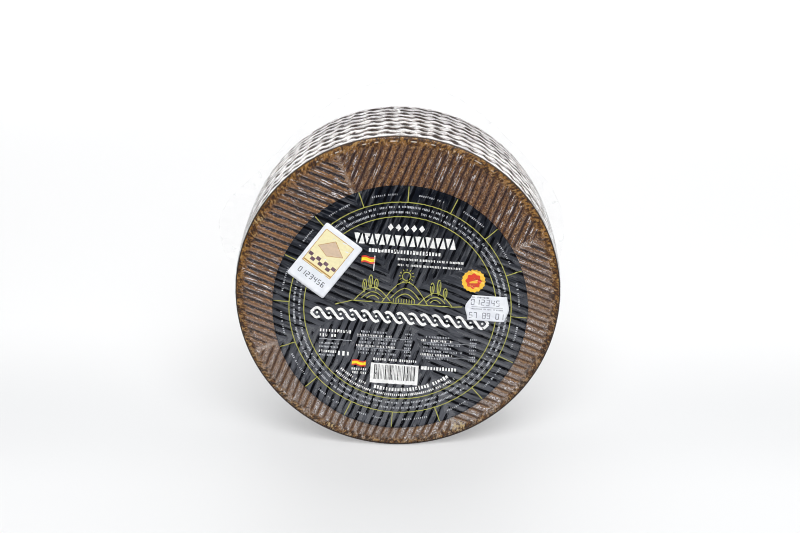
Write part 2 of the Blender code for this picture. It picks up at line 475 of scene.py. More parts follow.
def side_relief(sizes, place, angle, y, on_side, crumbs, creases):
    """The side's plait and its strands' lines, and how far its places move outwards.

    Waving grooves run round it in rows, and each swells and narrows into slots along its way.
    """
    tree = place.tree
    relief = (angle + math.pi / 2).math("PINGPONG", math.pi).stepped(*SMOOTH_FOOT)
    behind = y - FRONT_Y
    row_drift = (noise(vector(tree, angle * 0.04, y, 0.0), 9 * MM, 15) - 0.5) * 9.0
    drift = row_drift + noise(place, 30 * MM, 16) * 2.4
    swung = angle * WAVES_AROUND + math.pi * WAVES_AROUND / 2 + drift
    wave = swung.math("COSINE") * -1.0
    dash = swung.math("SINE") * 0.5 + 0.5
    along = behind - FIRST_GROOVE + sway(place, 20 * MM, 11, 2.4 * MM) - wave * WAVE_SWING * relief
    near = along.math("PINGPONG", GROOVE_PITCH / 2)
    half = sizes["Groove Width"] * (dash * 0.7 + 0.45) * uneven(place, 7 * MM, 12, 0.3)
    half = half * uneven(vector(tree, angle * 0.03, y, 0.0), 11 * MM, 17, 0.3)
    rows = band(behind, 4 * MM, 6 * MM, 78 * MM, 80.5 * MM) * relief
    belt = rows * on_side
    plait = (1.0 - near / half).math("MAXIMUM", -1.0) * belt - (1.0 - belt)
    groove = near.dropped(half * 0.15, half) * belt
    sunk = groove * sizes["Groove Depth"] * (dash * 0.5 + 0.6) * uneven(place, 15 * MM, 13, 0.2)
    cord = near.stepped(0.0, GROOVE_PITCH / 2) * CORD_SWELL * rows
    flat = band(behind, FRONT_ROUND, FRONT_ROUND + 3 * MM, WHEEL_DEPTH - BACK_ROUND, WHEEL_DEPTH - 2 * MM)
    out = cord - CORD_SWELL - sunk + (crumbs + creases) * flat + sizes["Stand Off"]
    return plait, along, out * on_side


def skin_tree():
    """Presses a smooth blank wheel into its ridges and plait. The rind and the film share it.

    The blank's points carry a zone: 1 on the front face, -1 on the back one and 0 on the side.
    """
    skin = ShapeTree("Pressed Skin")
    tree = skin.tree
    sizes = {name: skin.size(name) for name in SKIN_SIZES}
    zone_node = add_node(tree, "GeometryNodeInputNamedAttribute", {"Name": "zone"}, data_type="FLOAT")
    zone = Field(tree, zone_node.outputs[0])
    on_face = abs(zone)
    place = skin.place()
    x, y, z = parts_of(place)
    v = z - AXIS_HEIGHT
    radius = length_of(x, v)
    crumbs = sway(place, sizes["Lump Size"], 6, sizes["Lump Height"], 3.0)
    folds = abs(noise(place, 22 * MM, 8, 3.0) - 0.5).dropped(0.0, 0.02)
    creases = folds * sizes["Crease Height"]
    front = zone.stepped(0.0, 1.0)
    ridge, right, into, up = face_relief(sizes, place, x * zone, v, on_face, front, crumbs, creases)
    angle = v.math("ARCTAN2", x)
    plait, along, out = side_relief(sizes, place, angle, y, 1.0 - on_face, crumbs, creases)

    sideways = vector(tree, x / radius * out, 0.0, v / radius * out)
    facewards = vector(tree, right * zone, into * zone, up * on_face)
    both = add_node(tree, "ShaderNodeVectorMath", {0: sideways, 1: facewards}, operation="ADD")
    skin.store("ridge", ridge)
    skin.store("plait", plait)
    skin.store("strand", along)
    skin.step("GeometryNodeSetPosition", {"Offset": Field(tree, both.outputs[0])})
    new_x, new_y, new_z = parts_of(skin.place())
    floor = new_z.math("MAXIMUM", sizes["Floor"])
    skin.step("GeometryNodeSetPosition", {"Position": vector(tree, new_x, new_y, floor)})
    skin.close()
    return skin


def ridge_rows(centre_along, centre_across, radius, rows_per_ridge, step):
    """Rows of (along, across) places over an eighth of a face, each from its seam to a circle.

    The circle's centre is given along and across the eighth's ridges.
    """
    slant = 2 * radius**2 - (centre_along - centre_across) ** 2
    furthest = (centre_along + centre_across + math.sqrt(slant)) / 2
    spacing = RIDGE_PITCH / rows_per_ridge
    rows = []
    for k in range(int((furthest - 0.3 * spacing) / spacing) + 1):
        across = k * spacing
        end = centre_along + math.sqrt(radius**2 - (across - centre_across) ** 2)
        stops = [n * step for n in range(1, int(end / step) + 1)]
        stops = [stop for stop in stops if across + 0.4 * step < stop < end - 0.4 * step]
        rows.append([(stop, across) for stop in [across, *stops, end]])
    rows.append([(furthest, furthest)])
    return rows


def ridged_disc(shape, centre, radius, rows_per_ridge, step, place):
    """A disc whose rows of points follow the ridges. Returns its rim as (angle, point) in order."""
    rim = {}
    for eighth in range(8):
        middle = PATTERN_TURN + (eighth // 2 + 0.5) * TURN / 4
        side = 1 if eighth % 2 else -1
        ridge = Vector((math.cos(middle), math.sin(middle)))
        aside = Vector((-ridge.y, ridge.x)) * side
        rows = ridge_rows(centre.dot(ridge), centre.dot(aside), radius, rows_per_ridge, step)
        laid = []
        for row in rows:
            line = []
            for along, across in row:
                spot = ridge * along + aside * across
                line.append((along, shape.point(*place(spot.x, spot.y))))
            rim[line[-1][1]] = math.atan2(spot.y - centre.y, spot.x - centre.x) % TURN
            laid.append(line)
        for lower, upper in zip(laid, laid[1:]):
            shape.zip_rows(lower, upper, flip=side < 0)
    return sorted((angle, point) for point, angle in rim.items())


def crest_radius(depth):
    """The side's radius on top of the plait, at a depth behind the front face."""
    span = WHEEL_DEPTH - FRONT_ROUND - BACK_ROUND
    along = min(1.0, max(0.0, (depth - FRONT_ROUND) / span))
    return EDGE_RADIUS + BARREL * math.sin(math.pi * along)


def side_profile(row_gap):
    """(depth, radius) of the rings from the front face's rim to the back one's."""
    front_steps, back_steps = 4, 8
    rings = []
    for k in range(front_steps + 1):
        turn = math.pi / 2 * k / front_steps
        depth = max(RIM_DROP, FRONT_ROUND * (1 - math.cos(turn)))
        rings.append((depth, FACE_RADIUS + FRONT_ROUND * math.sin(turn)))
    count = round((WHEEL_DEPTH - FRONT_ROUND - BACK_ROUND) / row_gap)
    for k in range(1, count):
        depth = FRONT_ROUND + (WHEEL_DEPTH - FRONT_ROUND - BACK_ROUND) * k / count
        rings.append((depth, crest_radius(depth)))
    for k in range(back_steps + 1):
        turn = math.pi / 2 * k / back_steps
        depth = WHEEL_DEPTH - BACK_ROUND * (1 - math.sin(turn))
        rings.append((min(depth, WHEEL_DEPTH - RIM_DROP), BACK_FACE_RADIUS + BACK_ROUND * math.cos(turn)))
    return rings


def blank_wheel(name, columns, row_gap, rows_per_ridge, step):
    """A smooth closed wheel whose points lie ready for its ridges, each with its zone."""
    shape = Shape()
    zones = []
    rims = []
    for zone, radius in ((1, FACE_RADIUS), (-1, BACK_FACE_RADIUS)):
        def on_face(u, v, zone=zone):
            return u * zone, FRONT_Y * zone, AXIS_HEIGHT + v

        rims.append(ridged_disc(shape, Vector((0.0, 0.0)), radius - RIM_BAND, rows_per_ridge, step, on_face))
        zones += [float(zone)] * (len(shape.points) - len(zones))
    rings = []
    for depth, radius in side_profile(row_gap):
        ring = []
        for column in range(columns):
            angle = TURN * (column + 0.5) / columns
            x, z = radius * math.cos(angle), radius * math.sin(angle)
            ring.append((angle, shape.point(x, FRONT_Y + depth, AXIS_HEIGHT + z)))
        rings.append(ring)
    zones += [0.0] * (len(shape.points) - len(zones))
    shape.zip_rings(rims[0], rings[0], flip=True)
    for near, far in zip(rings, rings[1:]):
        for column in range(columns):
            after = (column + 1) % columns
            shape.face(near[column][1], far[column][1], far[after][1], near[after][1])
    mirrored = sorted(((math.pi - angle) % TURN, point) for angle, point in rings[-1])
    shape.zip_rings(rims[1], mirrored, flip=True)
    blank = new_object(name, shape.mesh(name))
    blank.data.attributes.new("zone", "FLOAT", "POINT").data.foreach_set("value", zones)
    return blank


# Finishes


class Finish:
    """A material whose colour, roughness and bumps are fields over the thing it is on."""

    def __init__(self, name, **constants):
        self.material = bpy.data.materials.new(name)
        self.material.use_nodes = True
        self.tree = self.material.node_tree
        self.shader = self.tree.nodes["Principled BSDF"]
        for socket, value in constants.items():
            self.shader.inputs[socket.replace("_", " ")].default_value = value
        self.place = Field(self.tree, self.tree.nodes.new("ShaderNodeTexCoord").outputs["Object"])

    def attribute(self, name):
        node = self.tree.nodes.new("ShaderNodeAttribute")
        node.attribute_name = name
        return Field(self.tree, node.outputs["Fac"])

    def paint(self, **fields):
        for socket, field in fields.items():
            feed(self.tree, self.shader.inputs[socket.replace("_", " ")], field)
        return self

    def bump(self, height, distance, strength=1.0):
        inputs = {"Height": height, "Distance": distance, "Strength": strength}
        node = add_node(self.tree, "ShaderNodeBump", inputs)
        feed(self.tree, self.shader.inputs["Normal"], Field(self.tree, node.outputs[0]))
        return self


def mixed_value(factor, a, b):
    """A plain field that goes from a to b as the factor goes from 0 to 1."""
    return factor * (b - a) + a


def spot_distance(u, v, right, up):
    """How far a place on a face is from one spot."""
    return length_of(u - right, v - up)


def upper_paint(u, v, edge, flecks, blotch):
    """Brown crests with pale and dark flecks. The grooves between are darkened with painted shade,
    purple-brown in the upper and lower quarters and near black in the side ones, with bluish-grey painted
    glints, and a dark line of painted shade runs in each crest's hollow.
    """
    grain, crumb, speck = flecks
    sideways = in_side_quarters(u, v)
    groove = edge.stepped(mixed_value(sideways, 0.45, 0.5), mixed_value(sideways, 0.75, 0.68))
    return coated(
        mixed(blotch.stepped(0.35, 0.65), (0.29, 0.13, 0.034), (0.225, 0.108, 0.045)),
        (crumb.dropped(0.4, 0.47) * 0.6, (0.38, 0.2, 0.07)),
        (crumb.stepped(0.5, 0.58) * 0.7, (0.11, 0.046, 0.021)),
        (speck.stepped(0.55, 0.6) * 0.85, (0.03, 0.012, 0.008)),
        (speck.dropped(0.34, 0.4) * 0.6, (0.6, 0.48, 0.34)),
        # Painted shade in each crest's hollow
        (edge.dropped(0.1, 0.3) * (sideways * 0.85 + 0.1), (0.035, 0.02, 0.02)),
        (sideways * 0.3, (0.46, 0.22, 0.08)),
        # Painted shade in the grooves
        (groove, mixed(sideways, (0.092, 0.043, 0.029), (0.014, 0.008, 0.008))),
        (groove * grain.dropped(0.4, 0.5) * (1.0 - sideways) * 0.6, (0.16, 0.085, 0.055)),
        # A near-black core of painted shade in the grooves of the upper and lower quarters
        (edge.stepped(0.78, 0.92) * (1.0 - sideways), (0.014, 0.006, 0.005)),
        # Bluish-grey painted glints in the grooves
        (groove * speck.dropped(0.36, 0.42) * (sideways * 0.6 + 0.1), (0.26, 0.23, 0.28)),
    )


def lower_paint(edge, flecks, blotch, streak):
    """Crests painted mauve-grey as the film's reflection of the floor, with golden and pale crumbs and
    white painted glints, and golden-brown lines with dark cores of painted shade between.
    """
    grain, crumb, speck = flecks
    # White painted glints on the crests
    white = speck.dropped(0.38, 0.43) * edge.dropped(0.35, 0.6) * blotch.stepped(0.4, 0.55)
    return coated(
        # Mauve-grey crests: painted reflection of the floor in the film
        mixed(streak.stepped(0.42, 0.6), (0.21, 0.145, 0.11), (0.28, 0.22, 0.19)),
        (grain.stepped(0.5, 0.56) * 0.8, (0.2, 0.115, 0.055)),
        (grain.dropped(0.4, 0.45) * 0.6, (0.42, 0.36, 0.33)),
        (edge.stepped(0.42, 0.56), (0.25, 0.14, 0.062)),
        # Dark cores of painted shade in the grooves
        (edge.stepped(0.66, 0.8), (0.095, 0.045, 0.022)),
        (crumb.stepped(0.52, 0.58) * 0.8, (0.085, 0.04, 0.02)),
        (white * 0.9, (0.85, 0.85, 0.88)),
    )


def face_paint(place, u, v, ridge):
    """The ridges of a face, with painted glints of the film and the floor's painted reflection in the lower
    part.
    """
    # The lower part of the face is painted as the film's paler reflection of the floor
    lower = (v + u * -0.25).dropped(-60 * MM, 35 * MM)
    blotch = noise(place, 18 * MM, 21, 3.0)
    grain = noise(place, 1.0 * MM, 23)
    speck = noise(place, 0.75 * MM, 34, 1.0)
    streak = streaks(u, v, 9 * MM, 1.0 * MM, 24)
    thread = streaks(u, v, 9 * MM, 0.8 * MM, 27)
    crumb = streaks(u, v, 2.4 * MM, 0.8 * MM, 29)
    flecks = (grain, crumb, speck)
    edge = ridge + (streak - 0.5) * 0.6 + (grain - 0.5) * 0.7 + (crumb - 0.5) * 0.4
    # How strongly the painted glints show: most round the glint spots, less in the lower part
    glint_share = 0.15
    for right, up, reach in GLINT_SPOTS:
        glint_share = spot_distance(u, v, right, up).dropped(reach * 0.3, reach) + glint_share
    glint_share = glint_share.math("MINIMUM", 1.0) * (1.0 - lower * 0.6)
    glint = thread.stepped(0.56, 0.6) * grain.stepped(0.38, 0.48) * ridge.dropped(0.5, 0.65)
    seam = (1.0 - off_seams(u, v)) * grain.stepped(0.4, 0.55)
    return coated(
        mixed(lower, upper_paint(u, v, edge, flecks, blotch), lower_paint(edge, flecks, blotch, streak)),
        # Painted shade: a dark line beside each painted glint
        (thread.stepped(0.5, 0.54) * glint_share * 0.75, (0.03, 0.016, 0.013)),
        # Painted highlight: thin white glints of the film
        (glint * glint_share, (0.8, 0.77, 0.77)),
        # Pale lines on the seams, partly painted glint, stronger in the lower part
        (seam * (lower * 0.3 + 0.3), (0.55, 0.47, 0.4)),
    )


def rim_paint(place, u, v, radius, ridge, base):
    """A golden-brown mottled band inside the rim, with a broken pale line of painted highlight along its
    upper part.
    """
    mottle = noise(place, 3.0 * MM, 22, 3.0)
    turned = v.math("ARCTAN2", u) * WHEEL_RADIUS
    pit = noise(vector(place.tree, turned + radius * 0.4, radius * 0.7, 0.0), 1.3 * MM, 25, 4.0)
    broken = noise(vector(place.tree, turned, 0.0, 0.0), 6.0 * MM, 30)
    height = v / radius
    rim = (radius + (mottle - 0.5) * 14 * MM + (pit - 0.5) * 8 * MM).stepped(91.5 * MM, 95.5 * MM)
    gold = coated(
        mixed(height.stepped(-0.7, 0.3), (0.22, 0.14, 0.075), (0.26, 0.118, 0.02)),
        (mottle.stepped(0.42, 0.58), (0.095, 0.036, 0.008)),
        (pit.stepped(0.5, 0.56) * 0.9, (0.022, 0.01, 0.005)),
        (pit.dropped(0.38, 0.44) * 0.7, (0.4, 0.25, 0.09)),
    )
    base = mixed(rim * (1.0 - ridge.stepped(0.5, 0.9) * 0.6), base, gold)
    for right, up, reach in PALE_SPOTS:
        spot = (spot_distance(u, v, right, up) + (mottle - 0.5) * 4 * MM).dropped(reach * 0.6, reach)
        base = mixed(spot * pit.dropped(0.42, 0.5) * 0.85, base, (0.46, 0.35, 0.17))
    # Painted highlight: a broken pale line just inside the rim at the top
    line = band(radius, 95.5 * MM, 95.8 * MM, 96.1 * MM, 96.4 * MM)
    pale = line * height.stepped(0.7, 0.95) * broken.stepped(0.5, 0.56) * 0.8
    return mixed(pale, base, (0.75, 0.68, 0.6))


def side_paint(rind, v, radius, plait):
    """Cords painted pale as the film's glare on them, whitest on the flanks, between dark brown slots that
    are partly painted shade. The back of the top and of the right side is painted duller as shade, and a film
    crease white as its highlight.
    """
    x, y, _ = parts_of(rind.place)
    mottle = noise(rind.place, 3.2 * MM, 26, 3.0)
    grain = noise(rind.place, 1.1 * MM, 23)
    stain = noise(rind.place, 14 * MM, 33, 3.0)
    around = v.math("ARCTAN2", x) * (WHEEL_RADIUS * 0.15)
    fine = noise(vector(rind.tree, around, rind.attribute("strand"), 0.0), 2.4 * MM, 28)
    height = v / radius
    top = height.stepped(0.6, 0.95)
    # The flanks: painted whiter as the film's glare there, with narrower slots and fainter lines
    flank = height.dropped(0.3, 0.65) * height.stepped(-0.4, 0.1)
    depth = y - FRONT_Y
    # Painted shade: far at the back of the top, shaded at the back of the right side
    far = depth.stepped(25 * MM, 65 * MM) * top
    shaded = depth.stepped(30 * MM, 60 * MM) * (x / radius).stepped(-0.2, 0.5)
    lines = (fine + far * 0.06 + shaded * 0.05).stepped(0.5, 0.56) * (1.0 - flank * 0.45)
    slot = (plait + (grain - 0.5) * 0.9 + far * 0.25 - flank * 0.4).stepped(-0.15, 0.2)
    bend = (mottle - 0.5) * 7 * MM + (grain - 0.5) * 2 * MM
    crease = abs(x + depth * 0.2 - 13 * MM + bend).dropped(0.3 * MM, 1.1 * MM)
    return coated(
        # The cords' pale colour: painted glare of the film over the brown rind
        mixed(mottle.stepped(0.35, 0.65), (0.68, 0.63, 0.59), (0.9, 0.87, 0.85)),
        # Painted glare, whitest on the flanks
        (flank, (0.93, 0.92, 0.91)),
        (stain.stepped(0.56, 0.66) * 0.5, (0.42, 0.3, 0.21)),
        # Painted shade, duller grey
        (top * 0.35 + far * 0.35 + shaded * 0.3, (0.38, 0.34, 0.32)),
        # Fine strand lines, darker where the painted shade is
        (lines * 0.8, (0.11, 0.075, 0.06)),
        # Dark slots, partly painted shade
        (slot, (0.03, 0.017, 0.012)),
        # A film crease, painted white as its highlight
        (crease * band(depth, 58 * MM, 64 * MM, 72 * MM, 80 * MM) * top, (0.9, 0.9, 0.9)),
    )


def rind_finish():
    """The rind's faces, rims and side, with a near-black line of painted shade round each rim's corner."""
    rind = Finish("Rind", Roughness=0.6, IOR=1.4)
    x, y, z = parts_of(rind.place)
    facing = y.stepped(-2 * MM, 2 * MM) * -2.0 + 1.0
    u, v = x * facing, z - AXIS_HEIGHT
    radius = length_of(u, v)
    past_rim = (WHEEL_DEPTH / 2 - abs(y)).stepped(2.4 * MM, 3.2 * MM)
    ridge, plait = rind.attribute("ridge"), rind.attribute("plait")
    side = 1.0 - abs(rind.attribute("zone"))
    # Painted shade: a near-black line round each rim's corner
    corner = (radius - v / radius * 0.6 * MM).stepped(97.5 * MM, 98.0 * MM)
    rind.paint(Base_Color=coated(
        rim_paint(rind.place, u, v, radius, ridge, face_paint(rind.place, u, v, ridge)),
        (side * past_rim, side_paint(rind, v, radius, plait)),
        (corner * (1.0 - past_rim), (0.022, 0.01, 0.006)),
    ))
    rough = noise(rind.place, 3.0 * MM, 22, 3.0) + noise(rind.place, 1.0 * MM, 23) * 0.6
    return rind.bump(rough, 0.35 * MM, 0.8).material


def film_finish(name, gain, haze, roughness):
    """Clear film: it mirrors more at a slant, and less in the grooves, on the front rim and at its hem."""
    film = Finish(name, Base_Color=(0.96, 0.97, 1.0, 1.0), Metallic=1.0, Roughness=roughness)
    tree = film.tree
    fresnel = Field(tree, add_node(tree, "ShaderNodeFresnel", {"IOR": 1.5}).outputs[0])
    x, y, z = parts_of(film.place)
    v = z - AXIS_HEIGHT
    radius = length_of(x, v)
    behind = WHEEL_DEPTH / 2 - abs(y)
    cloud = noise(film.place, 9 * MM, 31, 3.0)
    around = v.math("ARCTAN2", x) * (WHEEL_RADIUS * 0.12)
    fine = noise(vector(tree, around, y, 0.0), 0.9 * MM, 28)
    rim = radius.stepped(92.5 * MM, 94.5 * MM) * behind.dropped(2.4 * MM, 3.6 * MM)
    dull = film.attribute("ridge").stepped(0.6, 0.85) + film.attribute("plait").stepped(-0.15, 0.25) + rim
    top = (v / radius).stepped(0.0, 0.5)
    dull = dull + fine.stepped(0.5, 0.6) * behind.stepped(3 * MM, 5 * MM) * top * 0.5
    share = (fresnel * gain).math("MINIMUM", 0.25) + cloud * haze
    share = share * (1.0 - dull.math("MINIMUM", 1.0) * 0.88) * (1.0 - film.attribute("hem") * 0.75)
    film.bump(noise(film.place, 2.5 * MM, 32), 0.2 * MM, 0.35)
    clear = tree.nodes.new("ShaderNodeBsdfTransparent")
    mirror = Field(tree, film.shader.outputs[0])
    blend = add_node(tree, "ShaderNodeMixShader", {0: share, 1: Field(tree, clear.outputs[0]), 2: mirror})
    feed(tree, tree.nodes["Material Output"].inputs[0], Field(tree, blend.outputs[0]))
    return film.material


def slot_gaps(u, v):
    """How firmly the label is pressed into the grooves: 1 in most places, and 0 where it bridges them."""
    return streaks(u, v, 10 * MM, 3.0 * MM, 46).stepped(0.36, 0.5)


def label_finish():
    """Near-black paper, painted paler towards its foot as the floor's reflection, with painted highlights and
    darker streaks along the ridges and painted shade over the grooves.
    """
    label = Finish("Label_Paper", Roughness=0.5, IOR=1.1)
    u, _, z = parts_of(label.place)
    v = z - AXIS_HEIGHT
    cloud = noise(label.place, 20 * MM, 41, 3.0)
    crumple = noise(label.place, 3.5 * MM, 43, 3.0)
    fibre = noise(label.place, 0.6 * MM, 42)
    streak = streaks(u, v, 12 * MM, 1.6 * MM, 45)
    # Painted reflection of the floor: the paper paler towards its foot
    lower = z.dropped(40 * MM, 178 * MM)
    slot = (label.attribute("ridge") + (crumple - 0.5) * 0.4).stepped(0.62, 0.7) * slot_gaps(u, v)
    label.paint(Base_Color=coated(
        mixed(lower + (cloud - 0.5) * 0.3, (0.003, 0.005, 0.01), (0.082, 0.086, 0.099)),
        # Painted highlights along the ridges
        (streak.stepped(0.5, 0.66) * 0.5, (0.11, 0.115, 0.13)),
        (streak.dropped(0.34, 0.5) * 0.55, (0.004, 0.005, 0.008)),
        # Painted shade over the grooves
        (slot, (0.002, 0.0025, 0.004)),
    ))
    return label.bump(crumple + fibre * 0.2, 0.12 * MM, 0.5).material


def ink_finish(name, colour, worn):
    """Printing ink, a little uneven and rubbed."""
    ink = Finish(name, Roughness=0.4, IOR=1.5)
    rub = noise(ink.place, 1.6 * MM, 51, 3.0)
    return ink.paint(Base_Color=mixed(rub.stepped(0.35, 0.75), colour, worn)).material


def paper_finish(name, colour, shade):
    """Smooth white paper with a faint cloudy shade."""
    paper = Finish(name, Roughness=0.5, IOR=1.5)
    cloud = noise(paper.place, 6 * MM, 61, 3.0)
    fibre = noise(paper.place, 0.4 * MM, 62)
    paper.paint(Base_Color=mixed(cloud.stepped(0.35, 0.7), colour, shade))
    return paper.bump(fibre, 0.03 * MM, 0.4).material


# Pieces


def dress(piece, slot, *nodes):
    """Hangs the piece on the root body and hides the solids it stands for. Its slot is not used."""
    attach(piece, "root")
    if nodes:
        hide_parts(*nodes)


def make_rind(skin, material):
    rind = blank_wheel("cheese_rind", 504, 1.0 * MM, 8, 2.2 * MM)
    skin.run(rind, material, {
        "Ridge Depth": 1.3 * MM, "Ridge Flat": 0.38, "Groove Depth": 1.4 * MM, "Groove Width": 2.3 * MM,
        "Lump Height": 0.8 * MM, "Lump Size": 2.6 * MM, "Stand Off": 0.0, "Label Lift": 0.0,
        "Crease Height": 0.0, "Crest Hollow": 0.4 * MM, "Floor": 0.15 * MM, "Face Radius": FACE_RADIUS,
    })
    dress(rind, "rind", "wrapped_wheel")


def make_tight_film(skin, material):
    film = blank_wheel("tight_film", 378, 1.3 * MM, 4, 3.0 * MM)
    skin.run(film, material, {
        "Ridge Depth": 0.6 * MM, "Ridge Flat": 0.4, "Groove Depth": 0.7 * MM, "Groove Width": 2.6 * MM,
        "Lump Height": 0.35 * MM, "Lump Size": 5 * MM, "Stand Off": 0.2 * MM, "Label Lift": 0.62 * MM,
        "Crease Height": 0.12 * MM, "Crest Hollow": 0.0, "Floor": 0.0, "Face Radius": FACE_RADIUS,
    })
    dress(film, "film", "wrapped_wheel")


def press_tree():
    """Lays a flat sheet on the front face: its x is right, its y is up, and its z is out of it.

    Points well below the sheet are its back, which lies flat at the back height.
    """
    press = ShapeTree("Pressed Sheet")
    tree = press.tree
    dip, flat, lift = press.size("Dip"), press.size("Ridge Flat"), press.size("Lift")
    back_height, aligned = press.size("Back Height"), press.size("Rows Follow Ridges")
    u, v, out = parts_of(press.place())
    right, up = stray(u, v)
    a, b = u - right * (1.0 - aligned), v - up * (1.0 - aligned)
    place = vector(tree, a, 0.0, b)
    ridge = ridge_slope(a, b)
    sink = ridge.stepped(flat, 1.0) * slot_gaps(a, b)
    swell = sway(place, 30 * MM, 7, 0.25 * MM)
    crumple = sway(place, 7 * MM, 43, 0.25 * MM)
    into = sink * dip * uneven(place, 18 * MM, 44, 0.2) + swell + crumple - lift - out
    back = (out * -1.0).stepped(SHEET_BACK / 2, SHEET_BACK)
    front = 1.0 - back
    y = into * front - back * back_height + FRONT_Y
    new_place = vector(tree, u + right * aligned * front, y, v + up * aligned * front + AXIS_HEIGHT)
    press.store("ridge", ridge)
    press.step("GeometryNodeSetPosition", {"Position": new_place})
    press.close()
    return press


def press_on(press, thing, material, lift, dip, back=0.0, aligned=0.0):
    """Lays the flat thing on the front face at a lift, sinking by up to the dip into the grooves."""
    press.run(thing, material, {
        "Dip": dip, "Ridge Flat": LABEL_FLAT, "Lift": lift, "Back Height": back,
        "Rows Follow Ridges": aligned,
    })


def close_sheet(shape, rim, middle):
    """The edge and flat back of a sheet, from its rim of (angle, point)."""
    back = []
    for angle, point in rim:
        u, v, _ = shape.points[point]
        back.append((angle, shape.point(u, v, -SHEET_BACK)))
    shape.zip_rings(rim, back, flip=True)
    centre = shape.point(*middle, -SHEET_BACK)
    for (_, a), (_, b) in zip(back, back[1:] + back[:1]):
        shape.face(centre, b, a)


def make_label(press, material):
    shape = Shape()
    rim = ridged_disc(shape, LABEL_AT, LABEL_RADIUS, 12, 2.2 * MM, lambda u, v: (u, v, 0.0))
    close_sheet(shape, rim, LABEL_AT)
    label = new_object("label_sheet", shape.mesh("label_sheet"))
    press_on(press, label, material, LABEL_CREST, LABEL_DIP, LABEL_BACK, 1.0)
    dress(label, "label", "round_label")


def make_plate(press, name, outline, at, turn, lift, dip, material):
    """A small stiff sheet from its outline about its middle, laid on the label and film."""
    shape = Shape()
    corners = [at + Vector(corner) @ Matrix.Rotation(-turn, 2) for corner in outline]
    rings = []
    for ring in range(1, PLATE_RINGS + 1):
        rings.append([shape.point(*at.lerp(corner, ring / PLATE_RINGS)) for corner in corners])
    centre = shape.point(*at)
    count = len(outline)
    for k in range(count):
        after = (k + 1) % count
        shape.face(centre, rings[0][k], rings[0][after])
        for inner, outer in zip(rings, rings[1:]):
            shape.face(inner[k], outer[k], outer[after], inner[after])
    close_sheet(shape, [(TURN * k / count, point) for k, point in enumerate(rings[-1])], at)
    plate = new_object(name, shape.mesh(name))
    press_on(press, plate, material, lift, dip, STACK_BACK)
    return plate


def rounded_outline(size, corner, spacing):
    """A rectangle with rounded corners, as (right, up) points about its middle."""
    outline = []
    for quarter, (sx, sy) in enumerate(((1, 1), (-1, 1), (-1, -1), (1, -1))):
        middle = Vector((sx * (size[0] / 2 - corner), sy * (size[1] / 2 - corner)))
        for step in range(5):
            turn = math.pi / 2 * (quarter + step / 4)
            outline.append(middle + corner * Vector((math.cos(turn), math.sin(turn))))
    return filled_in(outline, spacing)


def filled_in(outline, spacing):
    """The closed outline with points added on its long sides."""
    filled = []
    for a, b in zip(outline, outline[1:] + outline[:1]):
        count = max(1, round((b - a).length / spacing))
        filled += [a.lerp(b, k / count) for k in range(count)]
    return filled


def tag_outline():
    """A hand labeller's tag, its two ends cut in a wave that leaves each corner short."""
    width, height = TAG_SIZE
    steps = 20
    outline = []
    for end, first_cut, last_cut in ((1, 1.9 * MM, 1.3 * MM), (-1, 3.4 * MM, 1.4 * MM)):
        for step in range(steps + 1):
            t = step / steps
            cut = (first_cut + (last_cut - first_cut) * t) * (0.5 + 0.5 * math.cos(TURN * t))
            ripple = TAG_WAVE * math.sin(math.pi * t)
            outline.append(Vector((end * (width / 2 + ripple - cut), end * height * (t - 0.5))))
    return filled_in(outline, 1.0 * MM)


# Prints


